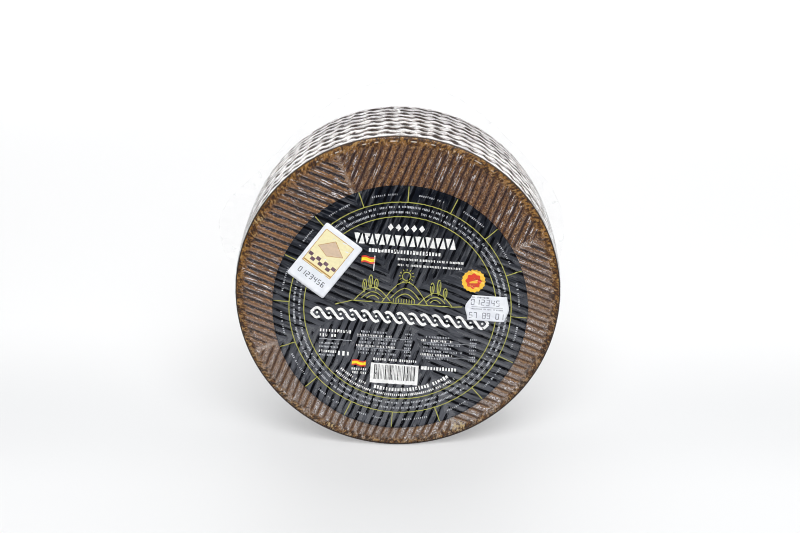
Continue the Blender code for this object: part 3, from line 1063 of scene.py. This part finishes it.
class Layout(Shape):
    """Flat ink shapes in small cells that can follow the creases, drawn in a movable frame."""

    def __init__(self, dash_row, at=(0.0, 0.0), turn=0.0):
        super().__init__()
        self.dash_row = dash_row
        self.move_to(at, turn)
        self.level = 0

    def move_to(self, at, turn=LABEL_TURN):
        self.at = Vector(at)
        self.turned = Matrix.Rotation(turn, 2)

    def put(self, spot):
        x, y = self.at + self.turned @ Vector(spot)
        return self.point(x, y, self.level * PRINT_LEVEL)

    def patch(self, ink, place, length, width):
        """A patch that place(s, t) spans as s runs along it and t across it, from 0 to 1."""
        along = max(1, math.ceil(length / PRINT_CELL))
        across = max(1, math.ceil(width / PRINT_CELL))
        grid = [[self.put(place(i / along, j / across)) for j in range(across + 1)] for i in range(along + 1)]
        for near, far in zip(grid, grid[1:]):
            for j in range(across):
                self.face(near[j], far[j], far[j + 1], near[j + 1], ink=ink)

    def bar(self, ink, middle, width, height):
        x, y = middle
        self.patch(ink, lambda s, t: (x + (s - 0.5) * width, y + (t - 0.5) * height), width, height)

    def ring(self, ink, radius, width, middle=(0.0, 0.0)):
        def place(s, t):
            angle, r = TURN - TURN * s, radius + (t - 0.5) * width
            return middle[0] + r * math.cos(angle), middle[1] + r * math.sin(angle)

        self.patch(ink, place, radius * TURN, width)

    def disc(self, ink, middle, radius, teeth=0, depth=0.0):
        """A disc, or with teeth one whose edge swells in and out."""
        def place(s, t):
            angle = TURN * (1 - s)
            r = t * (radius - depth * (0.5 - 0.5 * math.cos(teeth * angle)))
            return middle[0] + r * math.cos(angle), middle[1] + r * math.sin(angle)

        self.patch(ink, place, TURN * radius, radius)

    def stroke(self, ink, points, width):
        """A line of even width through the points."""
        points = [Vector(point) for point in points]
        headings = [(b - a).normalized() for a, b in zip(points, points[1:])]
        sides = []
        for before, after in zip([headings[0], *headings], [*headings, headings[-1]]):
            middle = (before + after).normalized()
            spread = max(0.5, middle.dot(after))
            sides.append(Vector((-middle.y, middle.x)) * (width / 2 / spread))
        for a, b, side_a, side_b in zip(points, points[1:], sides, sides[1:]):
            def place(s, t, a=a, b=b, side_a=side_a, side_b=side_b):
                return a.lerp(b, s) + side_a.lerp(side_b, s) * (2 * t - 1)

            self.patch(ink, place, (b - a).length, width)

    def quad(self, ink, corners):
        """Four corners in turn, from the lower left one against the clock."""
        a, b, c, d = (Vector(corner) for corner in corners)
        sizes = (max((b - a).length, (c - d).length), max((d - a).length, (c - b).length))
        self.patch(ink, lambda s, t: a.lerp(b, s).lerp(d.lerp(c, s), t), *sizes)

    def dashes(self, ink, points, height, seed, pitch=0.95, thick=0.5, gaps=0.15):
        """A row of small dashes through the points. Its height, pitch and thickness are in millimetres."""
        path = bpy.data.meshes.new("Path")
        spots = [self.at + self.turned @ Vector(point) for point in points]
        path.from_pydata([(*spot, 0.0) for spot in spots], [(k, k + 1) for k in range(len(spots) - 1)], [])
        row = new_object("Dash_Row", path)
        self.dash_row.run(row, None, {
            "Pitch": pitch * MM, "Height": height * MM, "Thickness": thick * MM, "Gaps": gaps,
            "Seed": float(seed),
        })
        self.add_mesh(row.data, ink)
        bpy.data.objects.remove(row)

    def level_dashes(self, ink, up, first, last, *looks):
        """A level row of small dashes, all in millimetres."""
        self.dashes(ink, [mm(first, up), mm(last, up)], *looks)

    def add_mesh(self, mesh, ink):
        start = len(self.points)
        level = self.level * PRINT_LEVEL
        self.points += [(point.co.x, point.co.y, level) for point in mesh.vertices]
        for polygon in mesh.polygons:
            self.face(*(start + corner for corner in polygon.vertices), ink=ink)


def dash_tree():
    """Small upright dashes along a path, uneven in size, with gaps as between words."""
    row = ShapeTree("Dash Row")
    tree = row.tree
    pitch, height, thick, gaps, seed = (row.size(n) for n in ("Pitch", "Height", "Thickness", "Gaps", "Seed"))
    row.step("GeometryNodeMeshToCurve")
    row.step("GeometryNodeResampleCurve", {"Length": pitch}, mode="LENGTH")

    def chance(low, high, shift):
        inputs = {2: low, 3: high, 8: seed + shift}
        node = add_node(tree, "FunctionNodeRandomValue", inputs, data_type="FLOAT")
        return Field(tree, node.outputs[1])

    tangent = Field(tree, tree.nodes.new("GeometryNodeInputTangent").outputs[0])
    turns = {"axis": "X", "pivot_axis": "Z"}
    heading = add_node(tree, "FunctionNodeAlignRotationToVector", {"Vector": tangent}, **turns)
    cells = {"Size X": 1.0, "Size Y": 1.0, "Vertices X": 2, "Vertices Y": height / PRINT_CELL + 1.6}
    dash = add_node(tree, "GeometryNodeMeshGrid", cells)
    row.step("GeometryNodeInstanceOnPoints", {
        "Selection": chance(0.0, 1.0, 1.0).math("GREATER_THAN", gaps),
        "Instance": Field(tree, dash.outputs[0]),
        "Rotation": Field(tree, heading.outputs[0]),
        "Scale": vector(tree, thick * chance(0.6, 1.5, 2.0), height * chance(0.7, 1.0, 3.0), 1.0),
    })
    row.close()
    return row


def arc_points(radius, first, last, steps=48):
    """Points along an arc about the frame's middle. Angles in degrees."""
    angles = [math.radians(first + (last - first) * k / steps) for k in range(steps + 1)]
    return [(radius * math.cos(angle), radius * math.sin(angle)) for angle in angles]


WHITE, LIME, AMBER, RED, BLACK, DIM, YELLOW = range(7)


def draw_rings(layout):
    """The two thin rings, the ticks outside them and the small dashes round the edge."""
    layout.move_to(LABEL_AT)
    layout.ring(LIME, OUTER_RING, RING_WIDTH)
    layout.ring(LIME, INNER_RING, RING_WIDTH)
    field = 360 / OUTER_FIELDS
    for k in range(OUTER_FIELDS):
        turn = math.radians(k * field)
        heading = Vector((math.cos(turn), math.sin(turn)))
        layout.stroke(LIME, [heading * OUTER_RING, heading * (LABEL_RADIUS - 0.4 * MM)], RING_WIDTH)
        arc = arc_points(72.3 * MM, (k + 0.76) * field, (k + 0.24) * field, 12)
        layout.dashes(DIM, arc, 1.2, 20 + k, 1.2, 0.5, 0.12)
    for radius, seed in ((64.6 * MM, 1), (61.3 * MM, 2)):
        layout.dashes(DIM, arc_points(radius, 360, 0, 180), 1.45, seed, 0.95, 0.52, 0.18)


def draw_upper_rows(layout):
    """The upper middle of the label: lozenges, a frieze of wolf's teeth and three rows of dashes."""
    layout.move_to(mm(5.2, 42.6))
    half, tall = mm(1.75, 2.3)
    for k in range(5):
        x = (k - 2) * 4.7 * MM
        layout.quad(WHITE, [(x - half, 0), (x, -tall), (x + half, 0), (x, tall)])
    layout.move_to(mm(4.5, 34.5))
    teeth, pitch, tall = 10, 6.1 * MM, 3.3 * MM
    for k in range(teeth):
        x = (k - (teeth - 1) / 2) * pitch
        for way in (-1, 1):
            foot = x + way * pitch / 4
            tip = (foot, way * tall)
            left, right = (foot - half, -way * tall), (foot + half, -way * tall)
            layout.quad(WHITE, [left, right, tip, tip] if way > 0 else [tip, right, left, tip])
    for at, half, looks in (
        ((4.2, 27.5), 21, (2.7, 3, 1.9, 1.1, 0.08)),
        ((19.8, 21.9), 19.5, (1.6, 4)),
        ((19.3, 18.3), 19, (1.5, 5)),
    ):
        layout.move_to(mm(*at))
        layout.level_dashes(WHITE, 0, -half, half, *looks)


def draw_plait(layout):
    """A white plait of two strands across the label."""
    layout.move_to(mm(1.2, -14.4))
    half_wave, swing, width, gap = mm(7.2, 3.2, 1.7, 1.8)
    waves = 15
    length = waves * half_wave

    def strand(way, first, last):
        steps = max(4, math.ceil((last - first) / (0.9 * MM)))
        xs = [first + (last - first) * k / steps for k in range(steps + 1)]
        return [(x - length / 2, way * swing * math.sin(math.pi * x / half_wave)) for x in xs]

    for way in (1, -1):
        under = [k * half_wave for k in range(1, waves) if (k % 2 == 0) == (way > 0)]
        stops = [0.0, *under, length]
        for a, b in zip(stops, stops[1:]):
            layout.stroke(WHITE, strand(way, a + (gap if a else 0), b - (gap if b < length else 0)), width)
    for k in range(waves):
        x = (k + 0.5) * half_wave - length / 2
        layout.disc(WHITE, (x, 0.0), 0.75 * MM)


def draw_hill(layout, first, last, height, share=1.0):
    """An arched line between two places in millimetres, or only the middle share of it."""
    points = []
    for k in range(17):
        t = (1 - share) / 2 + share * k / 16
        points.append(mm(first + (last - first) * t, height * math.sin(math.pi * t)))
    layout.stroke(LIME, points, FIELD_LINE)


def draw_poplar(layout, x, foot, tall):
    """A long oval crown round a straight trunk. Its place and height are in millimetres."""
    crown = []
    for k in range(17):
        turn = TURN * k / 16
        crown.append(mm(x + 1.1 * math.sin(turn), foot + tall / 2 - tall / 2 * math.cos(turn)))
    layout.stroke(LIME, crown, FIELD_LINE)
    layout.stroke(LIME, [mm(x, foot - 1.5), mm(x, foot + tall * 0.7)], FIELD_LINE * 0.8)


def draw_fields(layout):
    """A line drawing of low hills with poplars, a fence and the sun."""
    layout.move_to(mm(3.2, -5.2))
    for first, last, height in ((-30, -7, 9), (-13, 15, 14), (9, 30, 8)):
        draw_hill(layout, first, last, height)
        draw_hill(layout, first + 3, last - 3, height * 0.7, 0.8)
        draw_hill(layout, first + 6, last - 6, height * 0.45, 0.7)
    for x, foot, tall in (
        (-24, 7, 7), (-20.5, 9, 8), (-17, 8.6, 6), (17, 7.5, 7), (21, 8, 8.5), (25, 5.5, 6),
    ):
        draw_poplar(layout, x, foot, tall)
    sun = Vector(mm(1.0, 17.6))
    layout.ring(LIME, 2.6 * MM, FIELD_LINE, sun)
    for k in range(12):
        turn = TURN * k / 12
        ray = Vector((math.cos(turn), math.sin(turn)))
        layout.stroke(LIME, [sun + ray * 3.5 * MM, sun + ray * 4.7 * MM], FIELD_LINE * 0.8)
    layout.stroke(LIME, [mm(-41, -3.2), mm(-31, 0), mm(30, 0), mm(36, 0.6)], FIELD_LINE)
    for k in range(9):
        x = -6 + 1.6 * k
        layout.stroke(LIME, [mm(x, 0.4), mm(x, 3)], FIELD_LINE * 0.8)


def draw_flag(layout, corner, width, height):
    """A small waving flag in three stripes."""
    layout.move_to(corner)
    for ink, low, high in ((RED, 0.0, 0.26), (YELLOW, 0.26, 0.74), (RED, 0.74, 1.0)):
        def place(s, t, low=low, high=high):
            wave = 0.12 * height * math.sin(TURN * s)
            return s * width, (low + (high - low) * t) * height + wave

        layout.patch(ink, place, width, height * (high - low))


def draw_flower_disc(layout):
    """A scalloped amber disc with a red flower and a small amber wedge on it."""
    layout.move_to(mm(45.9, 9.4))
    layout.disc(AMBER, (0.0, 0.0), 7.3 * MM, 18, 0.5 * MM)
    layout.level = 1
    layout.disc(RED, (0.0, 0.0), 5.0 * MM, 8, 0.8 * MM)
    layout.level = 2
    layout.quad(AMBER, [mm(-2.6, -1.5), mm(2.4, -1.2), mm(2.4, 1.0), mm(-2.2, -0.6)])
    layout.level = 0


def draw_table(layout, at, rows, bold, seed):
    """Rows of small dashes with a short column at the right, and a rule under each bold row."""
    layout.move_to(at)
    width = TABLE_WIDTH
    draw = random.Random(seed)
    for k in range(rows):
        y = -k * TABLE_PITCH
        length = draw.uniform(0.5, 0.78) * width
        ink, height, start = (WHITE, 1.5, 0.0) if k in bold else (DIM, 1.35, 1.5 * MM)
        layout.dashes(ink, [(start, y), (length, y)], height, seed + k, thick=0.42)
        layout.dashes(DIM, [(width - 3.4 * MM, y), (width, y)], 1.2, seed + 50 + k, gaps=0.0)
        if k in bold:
            layout.bar(DIM, (width / 2, y - TABLE_PITCH / 2), width, 0.28 * MM)


def draw_striped_panel(layout):
    """A white panel with upright black stripes of uneven thickness."""
    layout.move_to(mm(-2.2, -50.9))
    width, height = mm(29.4, 13.0)
    layout.bar(WHITE, (0.0, 0.0), width, height)
    layout.level = 1
    draw = random.Random(9)
    x = -width / 2 + 2.2 * MM
    while x < width / 2 - 2.4 * MM:
        thick = draw.choice((0.25, 0.25, 0.5, 0.75)) * MM
        layout.bar(BLACK, (x + thick / 2, 0.8 * MM), thick, height - 3.4 * MM)
        x += thick + draw.choice((0.25, 0.5, 0.5, 0.75)) * MM
    layout.level = 0


def draw_lower_rows(layout):
    """The tables, the striped panel, the short rows beside them and the curved rows below."""
    layout.move_to(mm(-47, -22.2))
    for ink, up, last, height, thick, seed in (
        (WHITE, 0, 18, 2.3, 1.0, 70), (WHITE, -3.1, 9, 2.2, 1.0, 73),
        (DIM, -8.2, 12, 1.3, 0.5, 78), (DIM, -10.6, 11, 1.3, 0.5, 80),
    ):
        layout.level_dashes(ink, up, 0, last, height, seed, thick * 1.7, thick, 0.05)
    layout.bar(DIM, mm(9.5, -5.6), 20 * MM, 0.4 * MM)
    layout.level_dashes(WHITE, -13.6, 0, 10, 1.9, 81, 1.3, 0.8, 0.0)
    layout.level_dashes(WHITE, -14.2, 12, 17.5, 3.0, 82, 2.2, 1.2, 0.0)
    layout.level_dashes(DIM, -16.0, 0, 9, 1.3, 83)
    draw_table(layout, mm(-24.5, -22.9), 7, (1, 4), 100)
    draw_table(layout, mm(15, -26.3), 7, (1, 5), 200)
    layout.move_to(mm(-14.5, -41.0))
    layout.level_dashes(WHITE, 0, 0, 27, 1.8, 90, 1.3, 0.7)
    draw_striped_panel(layout)
    layout.move_to(mm(15.2, -46.8))
    layout.level_dashes(WHITE, 0, 0, 20, 2.5, 91, 1.8, 1.1, 0.06)
    layout.move_to(mm(-28, -47.3))
    layout.level_dashes(WHITE, 0, 0, 8.4, 1.7, 92, 1.2, 0.7, 0.0)
    layout.level_dashes(WHITE, -2.4, 0.6, 8.4, 1.7, 93, 1.2, 0.7)
    layout.move_to(LABEL_AT, 0.0)
    layout.dashes(WHITE, arc_points(52.6 * MM, -107, -57), 2.6, 94, 1.8, 1.0, 0.08)
    layout.dashes(WHITE, arc_points(56.0 * MM, -134, -54), 1.7, 95, 1.2, 0.6)
    layout.dashes(WHITE, arc_points(52.8 * MM, -133, -114), 1.7, 96, 1.2, 0.6)


def make_print(press, layout, name, inks, lift, dip, slot):
    """The layout's ink shapes, laid on the front face as a piece of their own."""
    ink = new_object(name, layout.mesh(name), inks)
    press_on(press, ink, inks[0], lift, dip)
    dress(ink, slot)


def make_label_print(press, dash_row, inks):
    layout = Layout(dash_row)
    draw_rings(layout)
    draw_upper_rows(layout)
    draw_plait(layout)
    draw_fields(layout)
    draw_flag(layout, mm(-21.9, 21.0), *mm(8.2, 4.2))
    layout.move_to((0.0, 0.0), 0.0)
    layout.stroke(WHITE, [mm(-13.7, 25.3), mm(-14.6, 15.7)], 0.6 * MM)
    draw_flag(layout, mm(-28.3, -45.2), *mm(8.6, 3.6))
    draw_flower_disc(layout)
    draw_lower_rows(layout)
    make_print(press, layout, "label_print", inks, LABEL_CREST + PRINT_LIFT, LABEL_DIP, "label")


# The strokes of each digit
DIGIT_STROKES = {
    "0": "abcdef", "1": "bc", "2": "abged", "3": "abgcd", "4": "fgbc", "5": "afgcd", "6": "afgedc",
    "7": "abc", "8": "abcdefg", "9": "abcdfg",
}

# Each stroke of a digit, between two corners given as columns and half heights
STROKE_ENDS = {
    "a": ((0, 2), (1, 2)), "b": ((1, 2), (1, 1)), "c": ((1, 1), (1, 0)), "d": ((0, 0), (1, 0)),
    "e": ((0, 1), (0, 0)), "f": ((0, 2), (0, 1)), "g": ((0, 1), (1, 1)),
}


def draw_digits(layout, ink, digits, start, size, pitch, thick):
    """Plain numbers in seven strokes. The row starts at its lower left corner."""
    width, height = size
    for k, digit in enumerate(digits):
        for name in DIGIT_STROKES.get(digit, ""):
            corners = []
            for right, up in STROKE_ENDS[name]:
                corners.append((start[0] + k * pitch + right * width, start[1] + up * height / 2))
            layout.stroke(ink, corners, thick)


def make_card(press, dash_row, paper, inks):
    """The control card: plain white with a small colour print and plain numbers."""
    outline = rounded_outline(CARD_SIZE, CARD_CORNER, 1.2 * MM)
    card = make_plate(press, "control_card", outline, CARD_AT, CARD_TURN, CARD_LIFT, CARD_DIP, paper)
    dress(card, "card", "control_label")
    cream, tan, plum, amber, grey = range(5)
    layout = Layout(dash_row, CARD_AT, CARD_TURN)
    layout.bar(amber, mm(-1.0, 4.6), *mm(21.0, 24.4))
    layout.level = 1
    layout.bar(cream, mm(-1.0, 4.6), *mm(20.2, 23.6))
    layout.level = 2
    wedge = [mm(-9.0, 5.5), mm(-1.0, 3.0), mm(7.5, 8.0), mm(-2.0, 13.6)]
    layout.quad(tan, wedge)
    for a, b in zip(wedge, wedge[1:] + wedge[:1]):
        layout.stroke(amber, [a, b], 0.4 * MM)
    for row in range(2):
        for column in range(7):
            if (row + column) % 2 == 0:
                layout.bar(plum, mm(-9.4 + 2.8 * column, -1.2 - 2.2 * row), *mm(2.8, 2.2))
    layout.bar(amber, mm(-1.0, -6.3), *mm(20.2, 0.9))
    layout.level = 0
    draw_digits(layout, grey, "0123456", mm(-9.4, -14.6), mm(1.5, 3.0), 2.8 * MM, 0.45 * MM)
    make_print(press, layout, "card_print", inks, CARD_LIFT + PRINT_LEVEL, CARD_DIP, "card")


def make_tag(press, dash_row, paper, grey):
    """The date tag: two rows of plain numbers, with a bar and a thin row between them and one above."""
    tag = make_plate(press, "date_tag", tag_outline(), TAG_AT, TAG_TURN, TAG_LIFT, TAG_DIP, paper)
    dress(tag, "sticker", "date_sticker")
    layout = Layout(dash_row, TAG_AT, TAG_TURN)
    size = mm(1.7, 3.4)
    draw_digits(layout, 0, "012345", mm(-9.8, 2.0), size, 3.05 * MM, 0.48 * MM)
    draw_digits(layout, 0, "67 89 01", mm(-10.4, -6.4), size, 2.7 * MM, 0.48 * MM)
    layout.bar(0, mm(0.0, 0.7), *mm(19, 0.3))
    layout.level_dashes(0, -0.6, -9.5, 9.5, 0.9, 97, 0.7, 0.4)
    layout.level_dashes(0, 6.8, -9.3, 0.5, 1.1, 98, 0.8, 0.5)
    make_print(press, layout, "tag_print", [grey], TAG_LIFT + PRINT_LEVEL, TAG_DIP, "sticker")


def margin_width(angle):
    """How far the film's free edge stands off the side at this angle."""
    first, last = MARGIN_ENDS
    width = MARGIN_LEAST
    for middle, spread, height in MARGIN_LOBES:
        width += height * math.exp(-(((angle - middle) / spread) ** 2))
    ends = min(angle - first, last - angle) / (last - first)
    return width * (0.4 + 0.6 * min(1.0, ends / 0.05))


def crumple_tree():
    """Crumples the film's free edge: a flat strip round the wheel whose points stay put near the side."""
    folds = ShapeTree("Crumpled Edge")
    tree = folds.tree
    fold, fray = folds.size("Fold Height"), folds.size("Fray")
    place = folds.place()
    x, _, z = parts_of(place)
    v = z - AXIS_HEIGHT
    radius = length_of(x, v)
    free = radius.stepped(WHEEL_RADIUS, WHEEL_RADIUS + 5 * MM)
    round_place = vector(tree, v.math("ARCTAN2", x) * 0.1, radius * 0.25, 0.0)
    waves = sway(round_place, 6 * MM, 81, 2.2)
    crease = 1.0 - abs(noise(place, 9 * MM, 82, 3.0) - 0.5) * 9.0
    back = (waves + crease.math("MAXIMUM", 0.0) * 0.5) * fold * free
    out = sway(round_place, 9 * MM, 83, fray, 3.0) * free
    folds.step("GeometryNodeSetPosition", {"Offset": vector(tree, x / radius * out, back, v / radius * out)})
    folds.close()
    return folds


def make_film_edge(material):
    """The bag's free edge behind the wheel, crumpled into small folds and sharp creases."""
    steps, bands = 320, 9
    shape = Shape()
    grid = []
    first, last = MARGIN_ENDS
    for step in range(steps + 1):
        angle = first + (last - first) * step / steps
        column = []
        for k in range(bands + 1):
            r = crest_radius(MARGIN_DEPTH_AT) + margin_width(angle) * k / bands
            y = FRONT_Y + MARGIN_DEPTH_AT
            column.append(shape.point(r * math.cos(angle), y, AXIS_HEIGHT + r * math.sin(angle)))
        grid.append(column)
    for near, far in zip(grid, grid[1:]):
        for k in range(bands):
            shape.face(near[k], near[k + 1], far[k + 1], far[k])
    strip = new_object("film_edge", shape.mesh("film_edge"))
    hem = strip.data.attributes.new("hem", "FLOAT", "POINT")
    for column in grid:
        hem.data[column[-1]].value = 1.0
    crumple_tree().run(strip, material, {"Fold Height": 3.0 * MM, "Fray": 3.0 * MM})
    thick = strip.modifiers.new("Thickness", "SOLIDIFY")
    thick.thickness = 0.2 * MM
    thick.offset = 0.0
    finish_mesh(strip)
    dress(strip, "film", "film_margin")


def aimed(way):
    """The turn that points a camera or lamp this way, its top up."""
    return way.to_track_quat("-Z", "Y").to_matrix()


def build_camera():
    """The camera looks at the face's middle, turned so that this lands on its pixel."""
    target = Vector((0.0, FRONT_Y, AXIS_HEIGHT))
    flat, rise = math.cos(CAMERA_ELEVATION), math.sin(CAMERA_ELEVATION)
    away = Vector((math.sin(CAMERA_AZIMUTH) * flat, -math.cos(CAMERA_AZIMUTH) * flat, rise))
    lens = bpy.data.cameras.new("Camera")
    lens.sensor_width = SENSOR_WIDTH
    lens.lens = FOCAL_PIXELS / IMAGE_SIZE[0] * SENSOR_WIDTH
    camera = bpy.data.objects.new("Camera", lens)
    bpy.context.scene.collection.objects.link(camera)
    across = (FACE_PIXEL[0] - IMAGE_SIZE[0] / 2) / FOCAL_PIXELS
    up = (IMAGE_SIZE[1] / 2 - FACE_PIXEL[1]) / FOCAL_PIXELS
    turn = Matrix.Rotation(math.atan(across), 3, "Y") @ Matrix.Rotation(-math.atan(up), 3, "X")
    place = Matrix.Translation(target + away * CAMERA_DISTANCE)
    camera.matrix_world = place @ (aimed(-away) @ turn).to_4x4()
    bpy.context.scene.camera = camera


def area_light(name, place, target, size, power):
    light = bpy.data.lights.new(name, "AREA")
    light.shape = "RECTANGLE"
    light.size, light.size_y = size
    light.energy = power
    box = bpy.data.objects.new(name, light)
    bpy.context.scene.collection.objects.link(box)
    place = Vector(place)
    box.matrix_world = Matrix.Translation(place) @ aimed(Vector(target) - place).to_4x4()


def camera_sees(tree):
    """1 for what the camera sees straight, and 0 for what lights or is mirrored."""
    return Field(tree, tree.nodes.new("ShaderNodeLightPath").outputs["Is Camera Ray"])


def build_floor():
    """A pale floor, painted lighter behind the wheel and where the wheel's shadow is deepest.

    What the film mirrors of it is dark well ahead of the wheel.
    """
    reach = 6.0
    mesh = bpy.data.meshes.new("Floor")
    corners = [(-reach, -reach, 0), (reach, -reach, 0), (reach, reach, 0), (-reach, reach, 0)]
    mesh.from_pydata(corners, [], [(0, 1, 2, 3)])
    paper = Finish("Floor_Paper", Roughness=0.6)
    x, y, _ = parts_of(paper.place)
    seen = camera_sees(paper.tree)
    pale = mixed(noise(paper.place, 0.5, 71), (0.58, 0.585, 0.59), (0.6, 0.6, 0.602))
    felt = mixed(y.stepped(-0.46, -0.16), (0.01, 0.01, 0.012), pale)
    foot = length_of(x, y + 0.02)
    lift = y.stepped(0.0, 0.2) + y.dropped(-0.12, -0.02) * 0.35 + foot.dropped(0.02, 0.09) * 0.7
    shown = mixed(lift, (0.478, 0.482, 0.487), (0.552, 0.553, 0.556))
    tone = mixed(seen, felt, shown)
    # Painted light: the floor glows a little everywhere, lifting the wheel's shadow, and more far off for the
    # camera
    glow = (length_of(x, y).stepped(0.7, 3.5) * 0.9 + 0.27) * seen + 0.33
    paper.paint(Base_Color=tone, Emission_Color=tone, Emission_Strength=glow)
    new_object("Floor", mesh, [paper.material])


def build_sky():
    """A pale backdrop that gives little light of its own."""
    world = bpy.data.worlds.new("Studio")
    world.use_nodes = True
    sky = world.node_tree.nodes["Background"]
    sky.inputs[0].default_value = (0.95, 0.97, 1.0, 1.0)
    feed(world.node_tree, sky.inputs[1], camera_sees(world.node_tree) * 0.8 + 0.09)
    bpy.context.scene.world = world


def build_studio():
    """The floor, the backdrop and three soft boxes."""
    build_floor()
    build_sky()
    area_light("Top_Box", (0.3, 0.9, 2.4), (0.0, 0.5, 0.0), (3.6, 3.0), 22.0)
    area_light("Back_Box", (0.0, 2.4, 0.9), (0.0, 0.0, 0.1), (5.5, 1.8), 67.0)
    area_light("Front_Box", (0.1, -1.25, 1.2), (0.0, 0.0, 0.1), (1.2, 1.0), 33.0)
    bpy.context.scene.view_settings.view_transform = "Standard"
    bpy.context.scene.cycles.filter_width = 1.0


# The inks: name, colour and the colour where it is rubbed

LABEL_INKS = (
    ("White_Ink", (0.88, 0.88, 0.87), (0.7, 0.7, 0.7)),
    ("Lime_Ink", (0.42, 0.42, 0.08), (0.31, 0.31, 0.08)),
    ("Amber_Ink", (0.88, 0.54, 0.05), (0.8, 0.44, 0.04)),
    ("Red_Ink", (0.68, 0.045, 0.02), (0.55, 0.06, 0.03)),
    ("Black_Ink", (0.02, 0.02, 0.025), (0.05, 0.05, 0.05)),
    ("Dim_Ink", (0.5, 0.52, 0.56), (0.26, 0.27, 0.3)),
    ("Yellow_Ink", (0.95, 0.75, 0.02), (0.85, 0.62, 0.02)),
)
CARD_INKS = (
    ("Cream_Ink", (0.86, 0.79, 0.48), (0.8, 0.72, 0.44)),
    ("Tan_Ink", (0.66, 0.5, 0.36), (0.6, 0.46, 0.34)),
    ("Plum_Ink", (0.12, 0.06, 0.09), (0.2, 0.12, 0.15)),
    ("Gold_Ink", (0.5, 0.27, 0.06), (0.45, 0.27, 0.1)),
    ("Grey_Ink", (0.05, 0.052, 0.07), (0.12, 0.12, 0.15)),
)
STAMP_INK = ("Stamp_Ink", (0.16, 0.165, 0.2), (0.4, 0.41, 0.45))


def build():
    skin = skin_tree()
    press = press_tree()
    dash_row = dash_tree()
    make_rind(skin, rind_finish())
    make_tight_film(skin, film_finish("Tight_Film", 1.6, 0.01, 0.13))
    make_film_edge(film_finish("Loose_Film", 0.22, 0.02, 0.3))
    make_label(press, label_finish())
    make_label_print(press, dash_row, [ink_finish(*ink) for ink in LABEL_INKS])
    card_paper = paper_finish("Card_Paper", (0.82, 0.84, 0.88), (0.72, 0.75, 0.8))
    make_card(press, dash_row, card_paper, [ink_finish(*ink) for ink in CARD_INKS])
    tag_paper = paper_finish("Tag_Paper", (0.78, 0.8, 0.84), (0.7, 0.72, 0.78))
    make_tag(press, dash_row, tag_paper, ink_finish(*STAMP_INK))
    build_camera()
    build_studio()


build()
